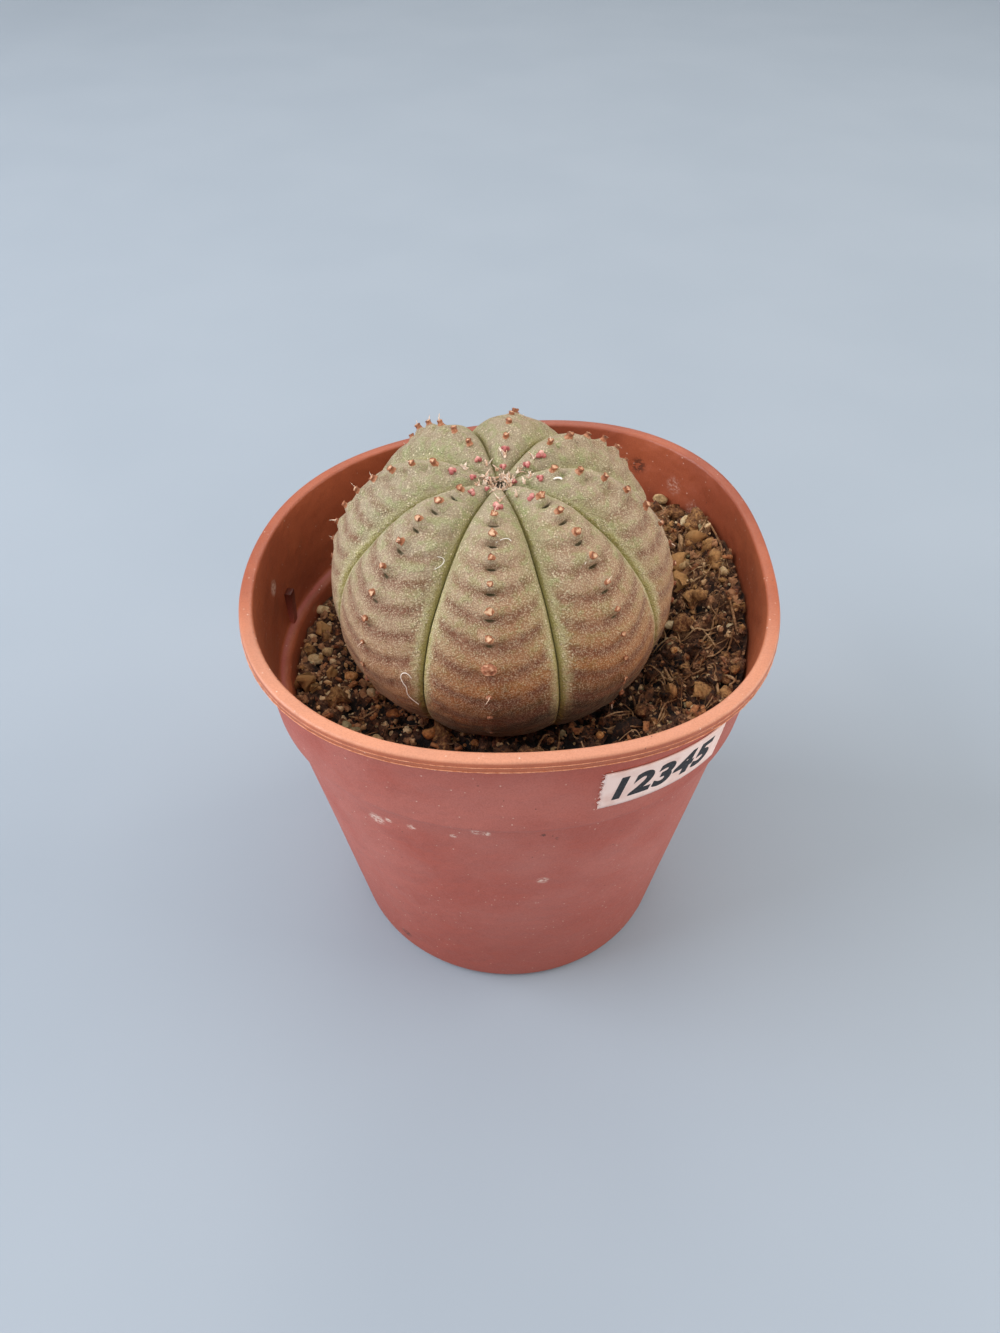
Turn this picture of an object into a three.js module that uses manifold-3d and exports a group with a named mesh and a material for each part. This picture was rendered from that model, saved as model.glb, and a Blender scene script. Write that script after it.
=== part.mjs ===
// A baseball plant (Euphorbia obesa) standing in soil in a small plastic nursery pot.
//
// Millimetres, +Z up, with the origin on the surface that the pot stands on, under the middle of its rim.
// Azimuths are degrees anticlockwise from +X, seen from above.

import * as THREE from 'three';
import { mergeVertices } from 'three/addons/utils/BufferGeometryUtils.js';
import { ParametricGeometry } from 'three/addons/geometries/ParametricGeometry.js';
import Module from 'manifold-3d';

const wasm = await Module();
wasm.setup();

const { degToRad, lerp, smoothstep } = THREE.MathUtils;
const TURN = 2 * Math.PI;

// ---------------------------------------------------------------------------
// Driving dimensions
// ---------------------------------------------------------------------------

// Clearance between a piece and the one that it rests in.
const SEAT_GAP = 0.3;

const POT = {
  height: 54.4,
  rimRadius: 30, // half the nominal width over the rim
  rimBand: 1.4, // height of the band round the rim's edge
  rimEdge: 0.3, // bevel along the rim's two top edges
  lip: 1.45, // width of the rim's flat top
  collarTopRadius: 28.9, // outside, just under the rim band
  collarFootRadius: 28.1,
  collarWall: 0.65,
  ledge: 41.5, // height of the step between the body and the collar
  ledgeFall: 0.5, // the ledge dips this much towards the middle
  step: 0.8, // the body's top is this much inside the collar's foot, and as much below it
  baseRadius: 21.4,
  baseEdge: 0.7, // bevel along the base's edge
  wall: 1.1,
  floorTop: 2.3,
  recess: 1.2, // the middle of the underside is this much off the ground
  footWidth: 4.2, // width of the flat ring that the pot stands on
};

// The rim is a rounded square that the soft plastic has let go slightly out of true. Less of that
// outline is left at the ledge, where the wall also bows a little to one side, and the base is round.
const OUTLINE = { square: 0.026, squareAt: 5.3, oval: 0.036, ovalAt: 45, skew: 0.021, skewAt: 67.4 };
const LEDGE_SHARE = 0.4;
const LEDGE_BOW = { x: -0.4, y: 0.2 };
const POT_SIDES = 64;

const LUGS = { count: 3, firstAt: 52, width: 1.3, depth: 0.9, height: 4.6, sink: 0.3, footSink: 0.4 };
const DRAINS = { count: 4, firstAt: 45, radius: 2.2, atRadius: 11.5, sides: 16 };

const LABEL = { fromAt: -72, toAt: -42.5, bottom: 44.5, top: 50.1, gap: 0.12, thickness: 0.2, sides: 6 };

const SOIL = {
  level: 42, // height in the middle of the pot
  slope: 0.1, // rise towards +X
  heap: 5, // the mix is heaped this much higher against one side of the wall
  heapAt: 22,
  heapSpread: 42,
  heapFrom: 15, // the heap begins at this radius and is full height at the next
  heapFull: 27,
  reach: 33, // the bed is drawn out past the wall, which trims it
  sides: 44,
  ringStep: 2.4,
  innermost: 12,
};
// Relief of the bed, as waves across it.
const SOIL_WAVES = [
  { height: 0.35, alongX: 0.9, alongY: 1.1, phase: 1.3 },
  { height: 0.28, alongX: 2.3, alongY: -1.7, phase: 0 },
  { height: 0.22, alongX: 2.9, alongY: 1.9, phase: 0.8 },
];
const GRIT = { count: 40, smallest: 0.5, largest: 1.15, raised: 0.2, nearest: 14.4, farthest: 26.1, seed: 11 };
const GRAIN_SHAPE = new THREE.Vector3(1.25, 0.9, 0.75);

// The body is an ellipsoid that is deeper above its widest line than below it.
const BODY = {
  centre: new THREE.Vector3(-1.6, 0.3, 51.3),
  leanX: 5, // it leans a little to the front and to the left
  leanY: -1.7,
  radius: 19.2,
  upper: 18.1,
  lower: 14.4,
  crownSink: 3.1,
  crownWidth: 7.1,
  pitDepth: 1.3,
  pitWidth: 1.6,
};
// The ribs, beginning with the one at the front: how far round each stands from its even place, how far
// down from the crown its first tubercle sits, in radians, and how far apart its tubercles are there.
const RIBS = [
  { drift: 0, first: 0.375, spacing: 2.35 },
  { drift: 0, first: 0.32, spacing: 2.65 },
  { drift: -2, first: 0.285, spacing: 2.6 },
  { drift: -7, first: 0.33, spacing: 2.55 },
  { drift: -4, first: 0.29, spacing: 2.5 },
  { drift: -4, first: 0.26, spacing: 2.6 },
  { drift: -2, first: 0.34, spacing: 2.3 },
  { drift: 0, first: 0.26, spacing: 2.7 },
];
const FIRST_RIB_AT = -93;
const RIB_STEP = 360 / RIBS.length;
const GROOVE = {
  depth: 0.5,
  shoulderDepth: 1.6, // so much deeper on the body's shoulder
  shoulderAt: 0.65,
  shoulderSpread: 0.5,
  roundness: 1.8,
  begins: 0.15, // full depth this far down from the crown
  dies: 2.3, // and less again from here, down to the root
};
const CREASE = { depth: 0.35, from: 0.9, begins: 0.1, full: 0.4 }; // the sharp line down each groove
const COLUMNS_PER_RIB = 8;
const COLUMN_CROWDING = 1.6; // columns are drawn together towards the grooves
const BODY_ROWS = 20;
const ROOT_ROWS = 5;
const ROW_CROWDING = 1.25; // and rows towards the crown
const ROOT = { from: 2.72, length: 21, taper: 1.6 };
const SOCKET = { gap: 0.35, sides: 32, step: 0.19 };

const TUBERCLE = { last: 2.25, spread: 0.3, clearOfSoil: 1.3 };
const STUB = { base: 0.8, tip: 0.34, rise: 0.8, sunk: 0.4, sides: 5, shrink: 0.27, unevenness: 0.15 };
const SPIKE_TIP = 0.2; // share of a spike's radius that is left at its tip
const THORN = { share: 0.14, radius: 0.22, length: 1.9, sunk: 0.4, sides: 4, lift: 0.3, aside: 1 };
const BUD = { radius: 0.6, long: 1.35, above: 0.065, sink: 0.5 };
const CHAFF = {
  count: 12,
  radius: 0.35,
  length: 1.7,
  sunk: 0.8,
  sides: 4,
  from: 0.05,
  to: 0.17,
  lift: 0.4,
  straggle: 0.6,
};
const PLANT_SEED = 7;

// ---------------------------------------------------------------------------
// Solids
// ---------------------------------------------------------------------------

// A manifold solid from a closed geometry: shared corners merged, collapsed triangles dropped.
function toSolid(geometry) {
  const shell = geometry.clone();
  shell.deleteAttribute('normal');
  shell.deleteAttribute('uv');
  const merged = mergeVertices(shell, 1e-4);
  const corners = merged.index.array;
  const triangles = [];
  for (let i = 0; i < corners.length; i += 3) {
    const [a, b, c] = corners.subarray(i, i + 3);
    if (a !== b && b !== c && c !== a) triangles.push(a, b, c);
  }
  return new wasm.Manifold(new wasm.Mesh({
    numProp: 3,
    vertProperties: Float32Array.from(merged.attributes.position.array),
    triVerts: Uint32Array.from(triangles),
  }));
}

function toGeometry(solid) {
  const mesh = solid.getMesh();
  const geometry = new THREE.BufferGeometry();
  geometry.setAttribute('position', new THREE.BufferAttribute(mesh.vertProperties, 3));
  geometry.setIndex(new THREE.BufferAttribute(mesh.triVerts, 1));
  geometry.computeVertexNormals();
  return geometry;
}

// The largest body of a solid, without the scraps that a cut leaves loose.
function largestBody(solid) {
  return solid.decompose().reduce((kept, body) => (body.volume() > kept.volume() ? body : kept));
}

// A solid of revolution about Z from [radius, height] points, first the outer side upwards.
function revolve(points, sides) {
  const profile = points.map(([radius, height]) => new THREE.Vector2(radius, height));
  return new THREE.LatheGeometry(profile, sides).rotateX(Math.PI / 2);
}

// Moves every vertex of a geometry by a rule that changes the point it is given.
function reshape(geometry, rule) {
  const position = geometry.attributes.position;
  const point = new THREE.Vector3();
  for (let i = 0; i < position.count; i++) {
    rule(point.fromBufferAttribute(position, i));
    position.setXYZ(i, point.x, point.y, point.z);
  }
  return geometry;
}

// Turns a geometry that stands along +Y to stand along a direction, with its middle at a point.
function standAt(geometry, point, direction) {
  const turn = new THREE.Quaternion().setFromUnitVectors(new THREE.Vector3(0, 1, 0), direction);
  return geometry.applyQuaternion(turn).translate(point.x, point.y, point.z);
}

// Repeatable random numbers from 0 to 1.
function randomFrom(seed) {
  let state = seed;
  return () => {
    state = (state * 1664525 + 1013904223) % 4294967296;
    return state / 4294967296;
  };
}

// ---------------------------------------------------------------------------
// Pot
// ---------------------------------------------------------------------------

// Bends a point of a round shape to the pot's outline at its height.
function bendToOutline(point) {
  const angle = Math.atan2(point.y, point.x);
  const square = OUTLINE.square * Math.cos(4 * (angle - degToRad(OUTLINE.squareAt)));
  const oval = OUTLINE.oval * Math.cos(2 * (angle - degToRad(OUTLINE.ovalAt)));
  const skew = OUTLINE.skew * Math.cos(3 * (angle - degToRad(OUTLINE.skewAt)));
  const above = (point.z - POT.ledge) / (POT.height - POT.ledge);
  const below = point.z / POT.ledge;
  const share = above > 0 ? lerp(LEDGE_SHARE, 1, above) : LEDGE_SHARE * below;
  const bow = above > 0 ? 1 - above : below;
  const factor = 1 + share * (oval + skew - square);
  return point.set(point.x * factor + LEDGE_BOW.x * bow, point.y * factor + LEDGE_BOW.y * bow, point.z);
}

// The pot's inside as [radius, height] points from the floor to the rim, drawn in by an inset.
function insideWall(inset) {
  const bodyTop = POT.collarFootRadius - POT.step;
  return [
    [POT.baseRadius - POT.wall - inset, POT.floorTop + inset],
    [(POT.baseRadius + bodyTop) / 2 - POT.wall - inset, (POT.floorTop + POT.ledge) / 2],
    [bodyTop - POT.wall - inset, POT.ledge - POT.ledgeFall + inset],
    [POT.collarFootRadius - POT.collarWall - inset, POT.ledge + inset],
    [POT.rimRadius - POT.lip - inset, POT.height - POT.rimEdge],
  ];
}

function outsideWall() {
  const bodyTop = POT.collarFootRadius - POT.step;
  const bandFoot = POT.height - POT.rimBand;
  return [
    [POT.baseRadius - POT.baseEdge, 0],
    [POT.baseRadius, POT.baseEdge],
    [(POT.baseRadius + bodyTop) / 2, POT.ledge / 2],
    [bodyTop, POT.ledge - POT.step],
    [POT.collarFootRadius, POT.ledge],
    [POT.collarTopRadius, bandFoot],
    [POT.rimRadius, bandFoot],
    [POT.rimRadius, POT.height - POT.rimEdge],
    [POT.rimRadius - POT.rimEdge, POT.height],
    [POT.rimRadius - POT.lip + POT.rimEdge, POT.height],
  ];
}

// One of the short lugs that stand on the ledge against the collar, grown by a clearance.
function lug(index, clearance) {
  const angle = degToRad(LUGS.firstAt + index * 360 / LUGS.count);
  const outer = POT.collarFootRadius - POT.collarWall + LUGS.sink;
  const height = LUGS.height + LUGS.footSink;
  const box = new THREE.BoxGeometry(LUGS.depth, LUGS.width, height);
  const grow = (size) => (size + 2 * clearance) / size;
  box.scale(grow(LUGS.depth), grow(LUGS.width), grow(height));
  box.translate(outer - LUGS.depth / 2, 0, POT.ledge - LUGS.footSink + height / 2).rotateZ(angle);
  return toSolid(reshape(box, bendToOutline));
}

function potSolid() {
  const footInner = POT.baseRadius - POT.baseEdge - POT.footWidth;
  const underside = [[0, POT.recess], [footInner - POT.recess / 2, POT.recess], [footInner, 0]];
  const inside = [...insideWall(0).reverse(), [0, POT.floorTop]];
  const shell = revolve([...underside, ...outsideWall(), ...inside], POT_SIDES);
  let pot = toSolid(reshape(shell, bendToOutline));
  for (let i = 0; i < LUGS.count; i++) pot = pot.add(lug(i, 0));
  for (let i = 0; i < DRAINS.count; i++) {
    const angle = degToRad(DRAINS.firstAt + i * 360 / DRAINS.count);
    const drill = new THREE.CylinderGeometry(DRAINS.radius, DRAINS.radius, 2 * POT.floorTop, DRAINS.sides);
    drill.rotateX(Math.PI / 2).translate(DRAINS.atRadius, 0, POT.floorTop).rotateZ(angle);
    pot = pot.subtract(toSolid(drill));
  }
  return pot;
}

// ---------------------------------------------------------------------------
// Label
// ---------------------------------------------------------------------------

// A flat strip bent round the outside of the collar.
function labelSolid() {
  const strip = new THREE.BoxGeometry(1, 1, 1, LABEL.sides, 1, 1).translate(0.5, 0.5, 0.5);
  return toSolid(reshape(strip, (point) => {
    const angle = degToRad(lerp(LABEL.fromAt, LABEL.toAt, point.x));
    const height = lerp(LABEL.bottom, LABEL.top, point.y);
    const climb = (height - POT.ledge) / (POT.height - POT.rimBand - POT.ledge);
    const collar = lerp(POT.collarFootRadius, POT.collarTopRadius, climb);
    const radius = collar + LABEL.gap + LABEL.thickness * point.z;
    bendToOutline(point.set(radius * Math.cos(angle), radius * Math.sin(angle), height));
  }));
}

// ---------------------------------------------------------------------------
// Soil
// ---------------------------------------------------------------------------

// Height of the soil at a place: a sloping bed in low waves, heaped against one side.
function soilHeight(x, y) {
  const angle = THREE.MathUtils.radToDeg(Math.atan2(y, x));
  const side = Math.exp(-(((angle - SOIL.heapAt) / SOIL.heapSpread) ** 2));
  const heap = SOIL.heap * side * smoothstep(Math.hypot(x, y), SOIL.heapFrom, SOIL.heapFull);
  const wave = ({ height, alongX, alongY, phase }) => height * Math.sin(alongX * x + alongY * y + phase);
  const relief = SOIL_WAVES.reduce((sum, each) => sum + wave(each), 0);
  return SOIL.level + SOIL.slope * x + heap + relief;
}

function soilBed() {
  const rings = [];
  for (let radius = SOIL.reach; radius >= SOIL.innermost; radius -= SOIL.ringStep) {
    rings.push([radius, SOIL.level]);
  }
  const bed = revolve([[0, 0], [SOIL.reach, 0], ...rings, [0, SOIL.level]], SOIL.sides);
  return toSolid(reshape(bed, (point) => {
    if (point.z > SOIL.level / 2) point.z = soilHeight(point.x, point.y);
  }));
}

// Loose grains that lie half sunk in the bed.
function gritOn(bed) {
  const random = randomFrom(GRIT.seed);
  let soil = bed;
  for (let i = 0; i < GRIT.count; i++) {
    const size = lerp(GRIT.smallest, GRIT.largest, random() ** 2);
    const radius = lerp(GRIT.nearest, GRIT.farthest, Math.sqrt(random()));
    const angle = TURN * random();
    const grain = new THREE.IcosahedronGeometry(size).scale(...GRAIN_SHAPE);
    grain.rotateX(TURN * random()).rotateZ(TURN * random());
    const x = radius * Math.cos(angle);
    const y = radius * Math.sin(angle);
    soil = soil.add(toSolid(grain.translate(x, y, soilHeight(x, y) + GRIT.raised * size)));
  }
  return soil;
}

function soilSolid(plantPlace) {
  const [floor, ...wall] = insideWall(SEAT_GAP);
  const room = revolve([[0, floor[1]], floor, ...wall, [0, POT.height - POT.rimEdge]], POT_SIDES);
  let soil = gritOn(soilBed()).intersect(toSolid(reshape(room, bendToOutline)));
  for (let i = 0; i < LUGS.count; i++) soil = soil.subtract(lug(i, SEAT_GAP));
  return largestBody(soil.subtract(socketSolid(plantPlace)));
}

// ---------------------------------------------------------------------------
// Plant
// ---------------------------------------------------------------------------

// The line that the rib crests follow, t radians down from the crown, as a radius and a height
// from the body's centre, with the outward normal there.
function crestAt(t) {
  const upright = t < Math.PI / 2 ? BODY.upper : BODY.lower;
  const radius = BODY.radius * Math.sin(t);
  const sink = t < Math.PI / 2 ? BODY.crownSink * Math.exp(-((radius / BODY.crownWidth) ** 2)) : 0;
  const pit = t < Math.PI / 2 ? BODY.pitDepth * Math.exp(-((radius / BODY.pitWidth) ** 2)) : 0;
  const normal = new THREE.Vector2(Math.sin(t) / BODY.radius, Math.cos(t) / upright).normalize();
  return { radius, height: upright * Math.cos(t) - sink - pit, normal };
}

// The root goes on from the underside of the body and narrows to a point.
function rootAt(share) {
  const top = crestAt(ROOT.from);
  return { radius: top.radius * (1 - share) ** ROOT.taper, height: top.height - ROOT.length * share };
}

function grooveDepth(t) {
  const shoulder = Math.exp(-(((t - GROOVE.shoulderAt) / GROOVE.shoulderSpread) ** 2));
  const fade = smoothstep(t, 0, GROOVE.begins) * (1 - smoothstep(t, GROOVE.dies, ROOT.from));
  return (GROOVE.depth + GROOVE.shoulderDepth * shoulder) * fade;
}

function ribAzimuth(rib) {
  const turns = Math.floor(rib / RIBS.length);
  return FIRST_RIB_AT + RIB_STEP * rib + RIBS[rib - turns * RIBS.length].drift;
}

// A point of the ribbed skin. Aside runs from 0 on the crest of a rib to 1 in the groove beside it.
function skinPoint(t, aside, azimuth, target) {
  const crest = crestAt(t);
  const crease = CREASE.depth * smoothstep(aside, CREASE.from, 1) * smoothstep(t, CREASE.begins, CREASE.full);
  const depth = grooveDepth(t) * aside ** GROOVE.roundness + (grooveDepth(t) > 0 ? crease : 0);
  const radius = crest.radius - depth * crest.normal.x;
  const angle = degToRad(azimuth);
  return target.set(
    radius * Math.cos(angle),
    radius * Math.sin(angle),
    crest.height - depth * crest.normal.y,
  );
}

// Places a grid column on its rib: the azimuth, and how far aside of the crest it lies.
function ribColumn(column) {
  const rib = Math.floor((column + COLUMNS_PER_RIB / 2) / COLUMNS_PER_RIB);
  const across = 2 * (column / COLUMNS_PER_RIB - rib);
  const aside = 1 - (1 - Math.abs(across)) ** COLUMN_CROWDING;
  const towards = ribAzimuth(rib + Math.sign(across));
  return { aside, azimuth: lerp(ribAzimuth(rib), towards, aside / 2) };
}

function ribbedBody() {
  const columns = COLUMNS_PER_RIB * RIBS.length;
  const rows = BODY_ROWS + ROOT_ROWS;
  const skin = new ParametricGeometry((u, v, target) => {
    const { aside, azimuth } = ribColumn(Math.round(u * columns) % columns);
    const row = Math.round((1 - v) * rows);
    if (row <= BODY_ROWS) {
      const t = ROOT.from * (row / BODY_ROWS) ** ROW_CROWDING;
      skinPoint(t, aside, azimuth, target);
    } else {
      const root = rootAt((row - BODY_ROWS) / ROOT_ROWS);
      const angle = degToRad(azimuth);
      target.set(root.radius * Math.cos(angle), root.radius * Math.sin(angle), root.height);
    }
  }, columns, rows);
  return toSolid(skin);
}

// The plain hole in the soil that the underside of the body and the root stand in.
function socketSolid(plantPlace) {
  const points = [[0, BODY.upper], [BODY.radius + SOCKET.gap, BODY.upper]];
  for (let t = Math.PI / 2; t < ROOT.from; t += SOCKET.step) {
    const { radius, height, normal } = crestAt(t);
    points.push([radius + SOCKET.gap * normal.x, height + SOCKET.gap * normal.y]);
  }
  for (let i = 0; i < ROOT_ROWS; i++) {
    const { radius, height } = rootAt(i / ROOT_ROWS);
    points.push([radius + SOCKET.gap, height - SOCKET.gap]);
  }
  points.push([0, rootAt(1).height - 2 * SOCKET.gap]);
  return toSolid(revolve(points.reverse(), SOCKET.sides).applyMatrix4(plantPlace));
}

// Outward direction of the skin on a crest, tipped towards the crown.
function outward(t, azimuth, lift) {
  const { normal } = crestAt(t);
  const angle = degToRad(azimuth);
  const out = new THREE.Vector3(normal.x * Math.cos(angle), normal.x * Math.sin(angle), normal.y + lift);
  return out.normalize();
}

// A thin dry stalk with its root in the skin.
function spike({ radius, length, sunk, sides, lift }, t, azimuth) {
  const cone = new THREE.CylinderGeometry(radius * SPIKE_TIP, radius, length, sides);
  cone.translate(0, length / 2 - sunk, 0);
  return standAt(cone, skinPoint(t, 0, azimuth, new THREE.Vector3()), outward(t, azimuth, lift));
}

// A tubercle: a low cone with the cut-off stub of an old flower stalk at its tip.
function stub(t, azimuth, scale) {
  const height = STUB.rise + STUB.sunk;
  const cone = new THREE.CylinderGeometry(STUB.tip, STUB.base, height, STUB.sides);
  cone.translate(0, height / 2 - STUB.sunk, 0).scale(scale, scale, scale);
  return standAt(cone, skinPoint(t, 0, azimuth, new THREE.Vector3()), outward(t, azimuth, 0));
}

function bud(t, azimuth) {
  const ball = new THREE.IcosahedronGeometry(BUD.radius).scale(1, BUD.long, 1);
  ball.translate(0, BUD.radius * BUD.long - BUD.sink, 0);
  return standAt(ball, skinPoint(t, 0, azimuth, new THREE.Vector3()), outward(t, azimuth, 0));
}

// The bud and the row of tubercles down one rib, as far as the soil lets them show.
function tubercleRow(rib, plantPlace, random) {
  const { first, spacing } = RIBS[rib];
  const azimuth = ribAzimuth(rib);
  const pieces = [bud(first - BUD.above, azimuth)];
  let t = first;
  while (t < TUBERCLE.last) {
    const world = skinPoint(t, 0, azimuth, new THREE.Vector3()).applyMatrix4(plantPlace);
    if (world.z < soilHeight(world.x, world.y) + TUBERCLE.clearOfSoil) break;
    const scale = 1 - STUB.shrink * t + STUB.unevenness * (random() - 0.5);
    pieces.push(stub(t, azimuth, scale));
    if (random() < THORN.share) pieces.push(spike(THORN, t, azimuth + THORN.aside));
    const upright = t < Math.PI / 2 ? BODY.upper : BODY.lower;
    const speed = Math.hypot(BODY.radius * Math.cos(t), upright * Math.sin(t));
    t += (spacing + TUBERCLE.spread * t) / speed;
  }
  return pieces;
}

// The dry scales and old stalks that crowd the sunken crown.
function crownChaff(random) {
  return Array.from({ length: CHAFF.count }, (_, i) => {
    const azimuth = 360 * (i + CHAFF.straggle * random()) / CHAFF.count;
    return spike(CHAFF, lerp(CHAFF.from, CHAFF.to, random()), azimuth);
  });
}

function plantSolid(plantPlace) {
  const random = randomFrom(PLANT_SEED);
  const rows = RIBS.flatMap((_, rib) => tubercleRow(rib, plantPlace, random));
  const pieces = [...rows, ...crownChaff(random)];
  return pieces.reduce((plant, piece) => plant.add(toSolid(piece)), ribbedBody());
}

// ---------------------------------------------------------------------------
// Materials and assembly
// ---------------------------------------------------------------------------

const terracottaPlastic = new THREE.MeshStandardMaterial({ color: 0xb9604c, roughness: 0.55, metalness: 0 });
const labelPaper = new THREE.MeshStandardMaterial({ color: 0xe9d9d2, roughness: 0.85, metalness: 0 });
const pottingMix = new THREE.MeshStandardMaterial({ color: 0x4b3324, roughness: 1, metalness: 0 });
const plantSkin = new THREE.MeshStandardMaterial({ color: 0x8f8f6a, roughness: 0.75, metalness: 0 });

function piece(name, solid, material) {
  const mesh = new THREE.Mesh(toGeometry(solid), material);
  mesh.name = name;
  return mesh;
}

// Where the plant stands in the pot.
const plantPlace = new THREE.Matrix4().compose(
  BODY.centre,
  new THREE.Quaternion().setFromEuler(
    new THREE.Euler(degToRad(BODY.leanX), degToRad(BODY.leanY), 0, 'YXZ'),
  ),
  new THREE.Vector3(1, 1, 1),
);

const pot = piece('pot', potSolid(), terracottaPlastic);
const label = piece('label', labelSolid(), labelPaper);
const soil = piece('soil', soilSolid(plantPlace), pottingMix);
const plant = piece('plant', plantSolid(plantPlace), plantSkin);
plant.applyMatrix4(plantPlace);

const pottedPlant = new THREE.Group();
pottedPlant.add(pot, label, soil, plant);

// The middle of the rim comes over the origin.
pot.geometry.computeBoundingBox();
const rimMiddle = pot.geometry.boundingBox.getCenter(new THREE.Vector3());
pottedPlant.position.set(-rimMiddle.x, -rimMiddle.y, 0);

export default pottedPlant;
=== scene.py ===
"""A baseball plant (Euphorbia obesa) growing in a small plastic nursery pot.

Shapes are worked out in millimetres in the pot's own frame, where Z runs up through the middle of its
base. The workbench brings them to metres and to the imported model's origin, under the middle of the rim.
Azimuths are degrees anticlockwise from +X, seen from above.
"""

import logging
import random
from collections.abc import Callable, Iterator, Sequence
from dataclasses import dataclass, field
from enum import Enum
from math import atan2, cos, degrees, exp, hypot, pi, radians, sin, sqrt

import bmesh
import bpy
from mathutils import Euler, Matrix, Vector, noise


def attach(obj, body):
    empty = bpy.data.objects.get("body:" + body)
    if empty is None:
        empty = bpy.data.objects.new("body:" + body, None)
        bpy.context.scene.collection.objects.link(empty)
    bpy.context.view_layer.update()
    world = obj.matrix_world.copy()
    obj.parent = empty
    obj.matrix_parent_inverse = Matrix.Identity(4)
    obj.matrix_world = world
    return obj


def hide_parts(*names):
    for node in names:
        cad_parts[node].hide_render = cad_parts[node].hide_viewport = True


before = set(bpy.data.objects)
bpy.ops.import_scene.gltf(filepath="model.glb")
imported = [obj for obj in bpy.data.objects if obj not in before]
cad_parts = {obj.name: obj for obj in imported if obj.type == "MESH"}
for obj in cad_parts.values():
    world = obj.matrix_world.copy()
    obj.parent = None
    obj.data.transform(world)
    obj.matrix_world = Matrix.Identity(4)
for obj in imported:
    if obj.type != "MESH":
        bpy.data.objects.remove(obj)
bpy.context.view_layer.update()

log = logging.getLogger("baseball_plant")

BMesh = bmesh.types.BMesh
BMVert = bmesh.types.BMVert
Material = bpy.types.Material
Marks = Sequence[tuple[Vector, float]]
Mark = tuple[float, float, float]

TURN = 2.0 * pi
UP = Vector((0.0, 0.0, 1.0))
MM = 0.001
NOISE_SEED = 7


def smoothstep(value: float, low: float, high: float) -> float:
    """Return a smooth rise from 0 at low to 1 at high, which may be the smaller one."""
    share = min(max((value - low) / (high - low), 0.0), 1.0)
    return share * share * (3.0 - 2.0 * share)


def lerp(start: float, end: float, share: float) -> float:
    """Return the number that lies a share of the way from start to end."""
    return start + (end - start) * share


def bell(distance: float, width: float) -> float:
    """Return a rounded bump's height, 1 at its middle, at a distance from it."""
    return exp(-((distance / width) ** 2))


def linear(code: str) -> tuple[float, float, float, float]:
    """Turn a paint code of six hexadecimal digits into the linear colour that a shader takes."""
    parts = [int(code[i : i + 2], 16) / 255.0 for i in (0, 2, 4)]
    return (*[p / 12.92 if p <= 0.04045 else ((p + 0.055) / 1.055) ** 2.4 for p in parts], 1.0)


def at(radius: float, azimuth: float, height: float) -> Vector:
    """Return the point at a radius, an azimuth in degrees and a height."""
    angle = radians(azimuth)
    return Vector((radius * cos(angle), radius * sin(angle), height))


# Shader maths


def operator(operation: str, swapped: bool = False) -> Callable[..., "Signal"]:
    """Make the method of a Python operator.

    Args:
        operation: The Math node's operation.
        swapped: Whether the signal is on the operator's right side.

    Returns:
        The method.
    """

    def method(self: "Signal", other: "Signal | float") -> "Signal":
        """Return the operation's result."""
        return self.maths(operation, *((other, self) if swapped else (self, other)))

    return method


class Signal:
    """A shader socket that can stand in a Python expression."""

    __add__, __radd__ = operator("ADD"), operator("ADD", swapped=True)
    __sub__, __rsub__ = operator("SUBTRACT"), operator("SUBTRACT", swapped=True)
    __mul__, __rmul__ = operator("MULTIPLY"), operator("MULTIPLY", swapped=True)
    __truediv__ = operator("DIVIDE")
    __pow__ = operator("POWER")

    def __init__(self, graph: "Graph", socket: bpy.types.NodeSocket) -> None:
        """Wrap an output socket of a graph."""
        self.graph = graph
        self.socket = socket

    def maths(self, operation: str, *values: "Signal | float") -> "Signal":
        """Add a Math node that works on the given values in order."""
        return self.graph.node("ShaderNodeMath", {"operation": operation}, dict(enumerate(values)))

    def fraction(self) -> "Signal":
        """Return the part after the decimal point, from 0 to 1."""
        return self.maths("FRACT", self)

    def size(self) -> "Signal":
        """Return the value without its sign."""
        return self.maths("ABSOLUTE", self)

    def between(self, low: float, high: float) -> "Signal":
        """Make a smooth rise.

        Args:
            low: Where it is 0.
            high: Where it is 1. It may be the smaller one.

        Returns:
            The rise.
        """
        ends = {"Value": self, "From Min": min(low, high), "From Max": max(low, high)}
        if high < low:
            ends |= {"To Min": 1.0, "To Max": 0.0}
        return self.graph.node("ShaderNodeMapRange", {"interpolation_type": "SMOOTHSTEP"}, ends)


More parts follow.
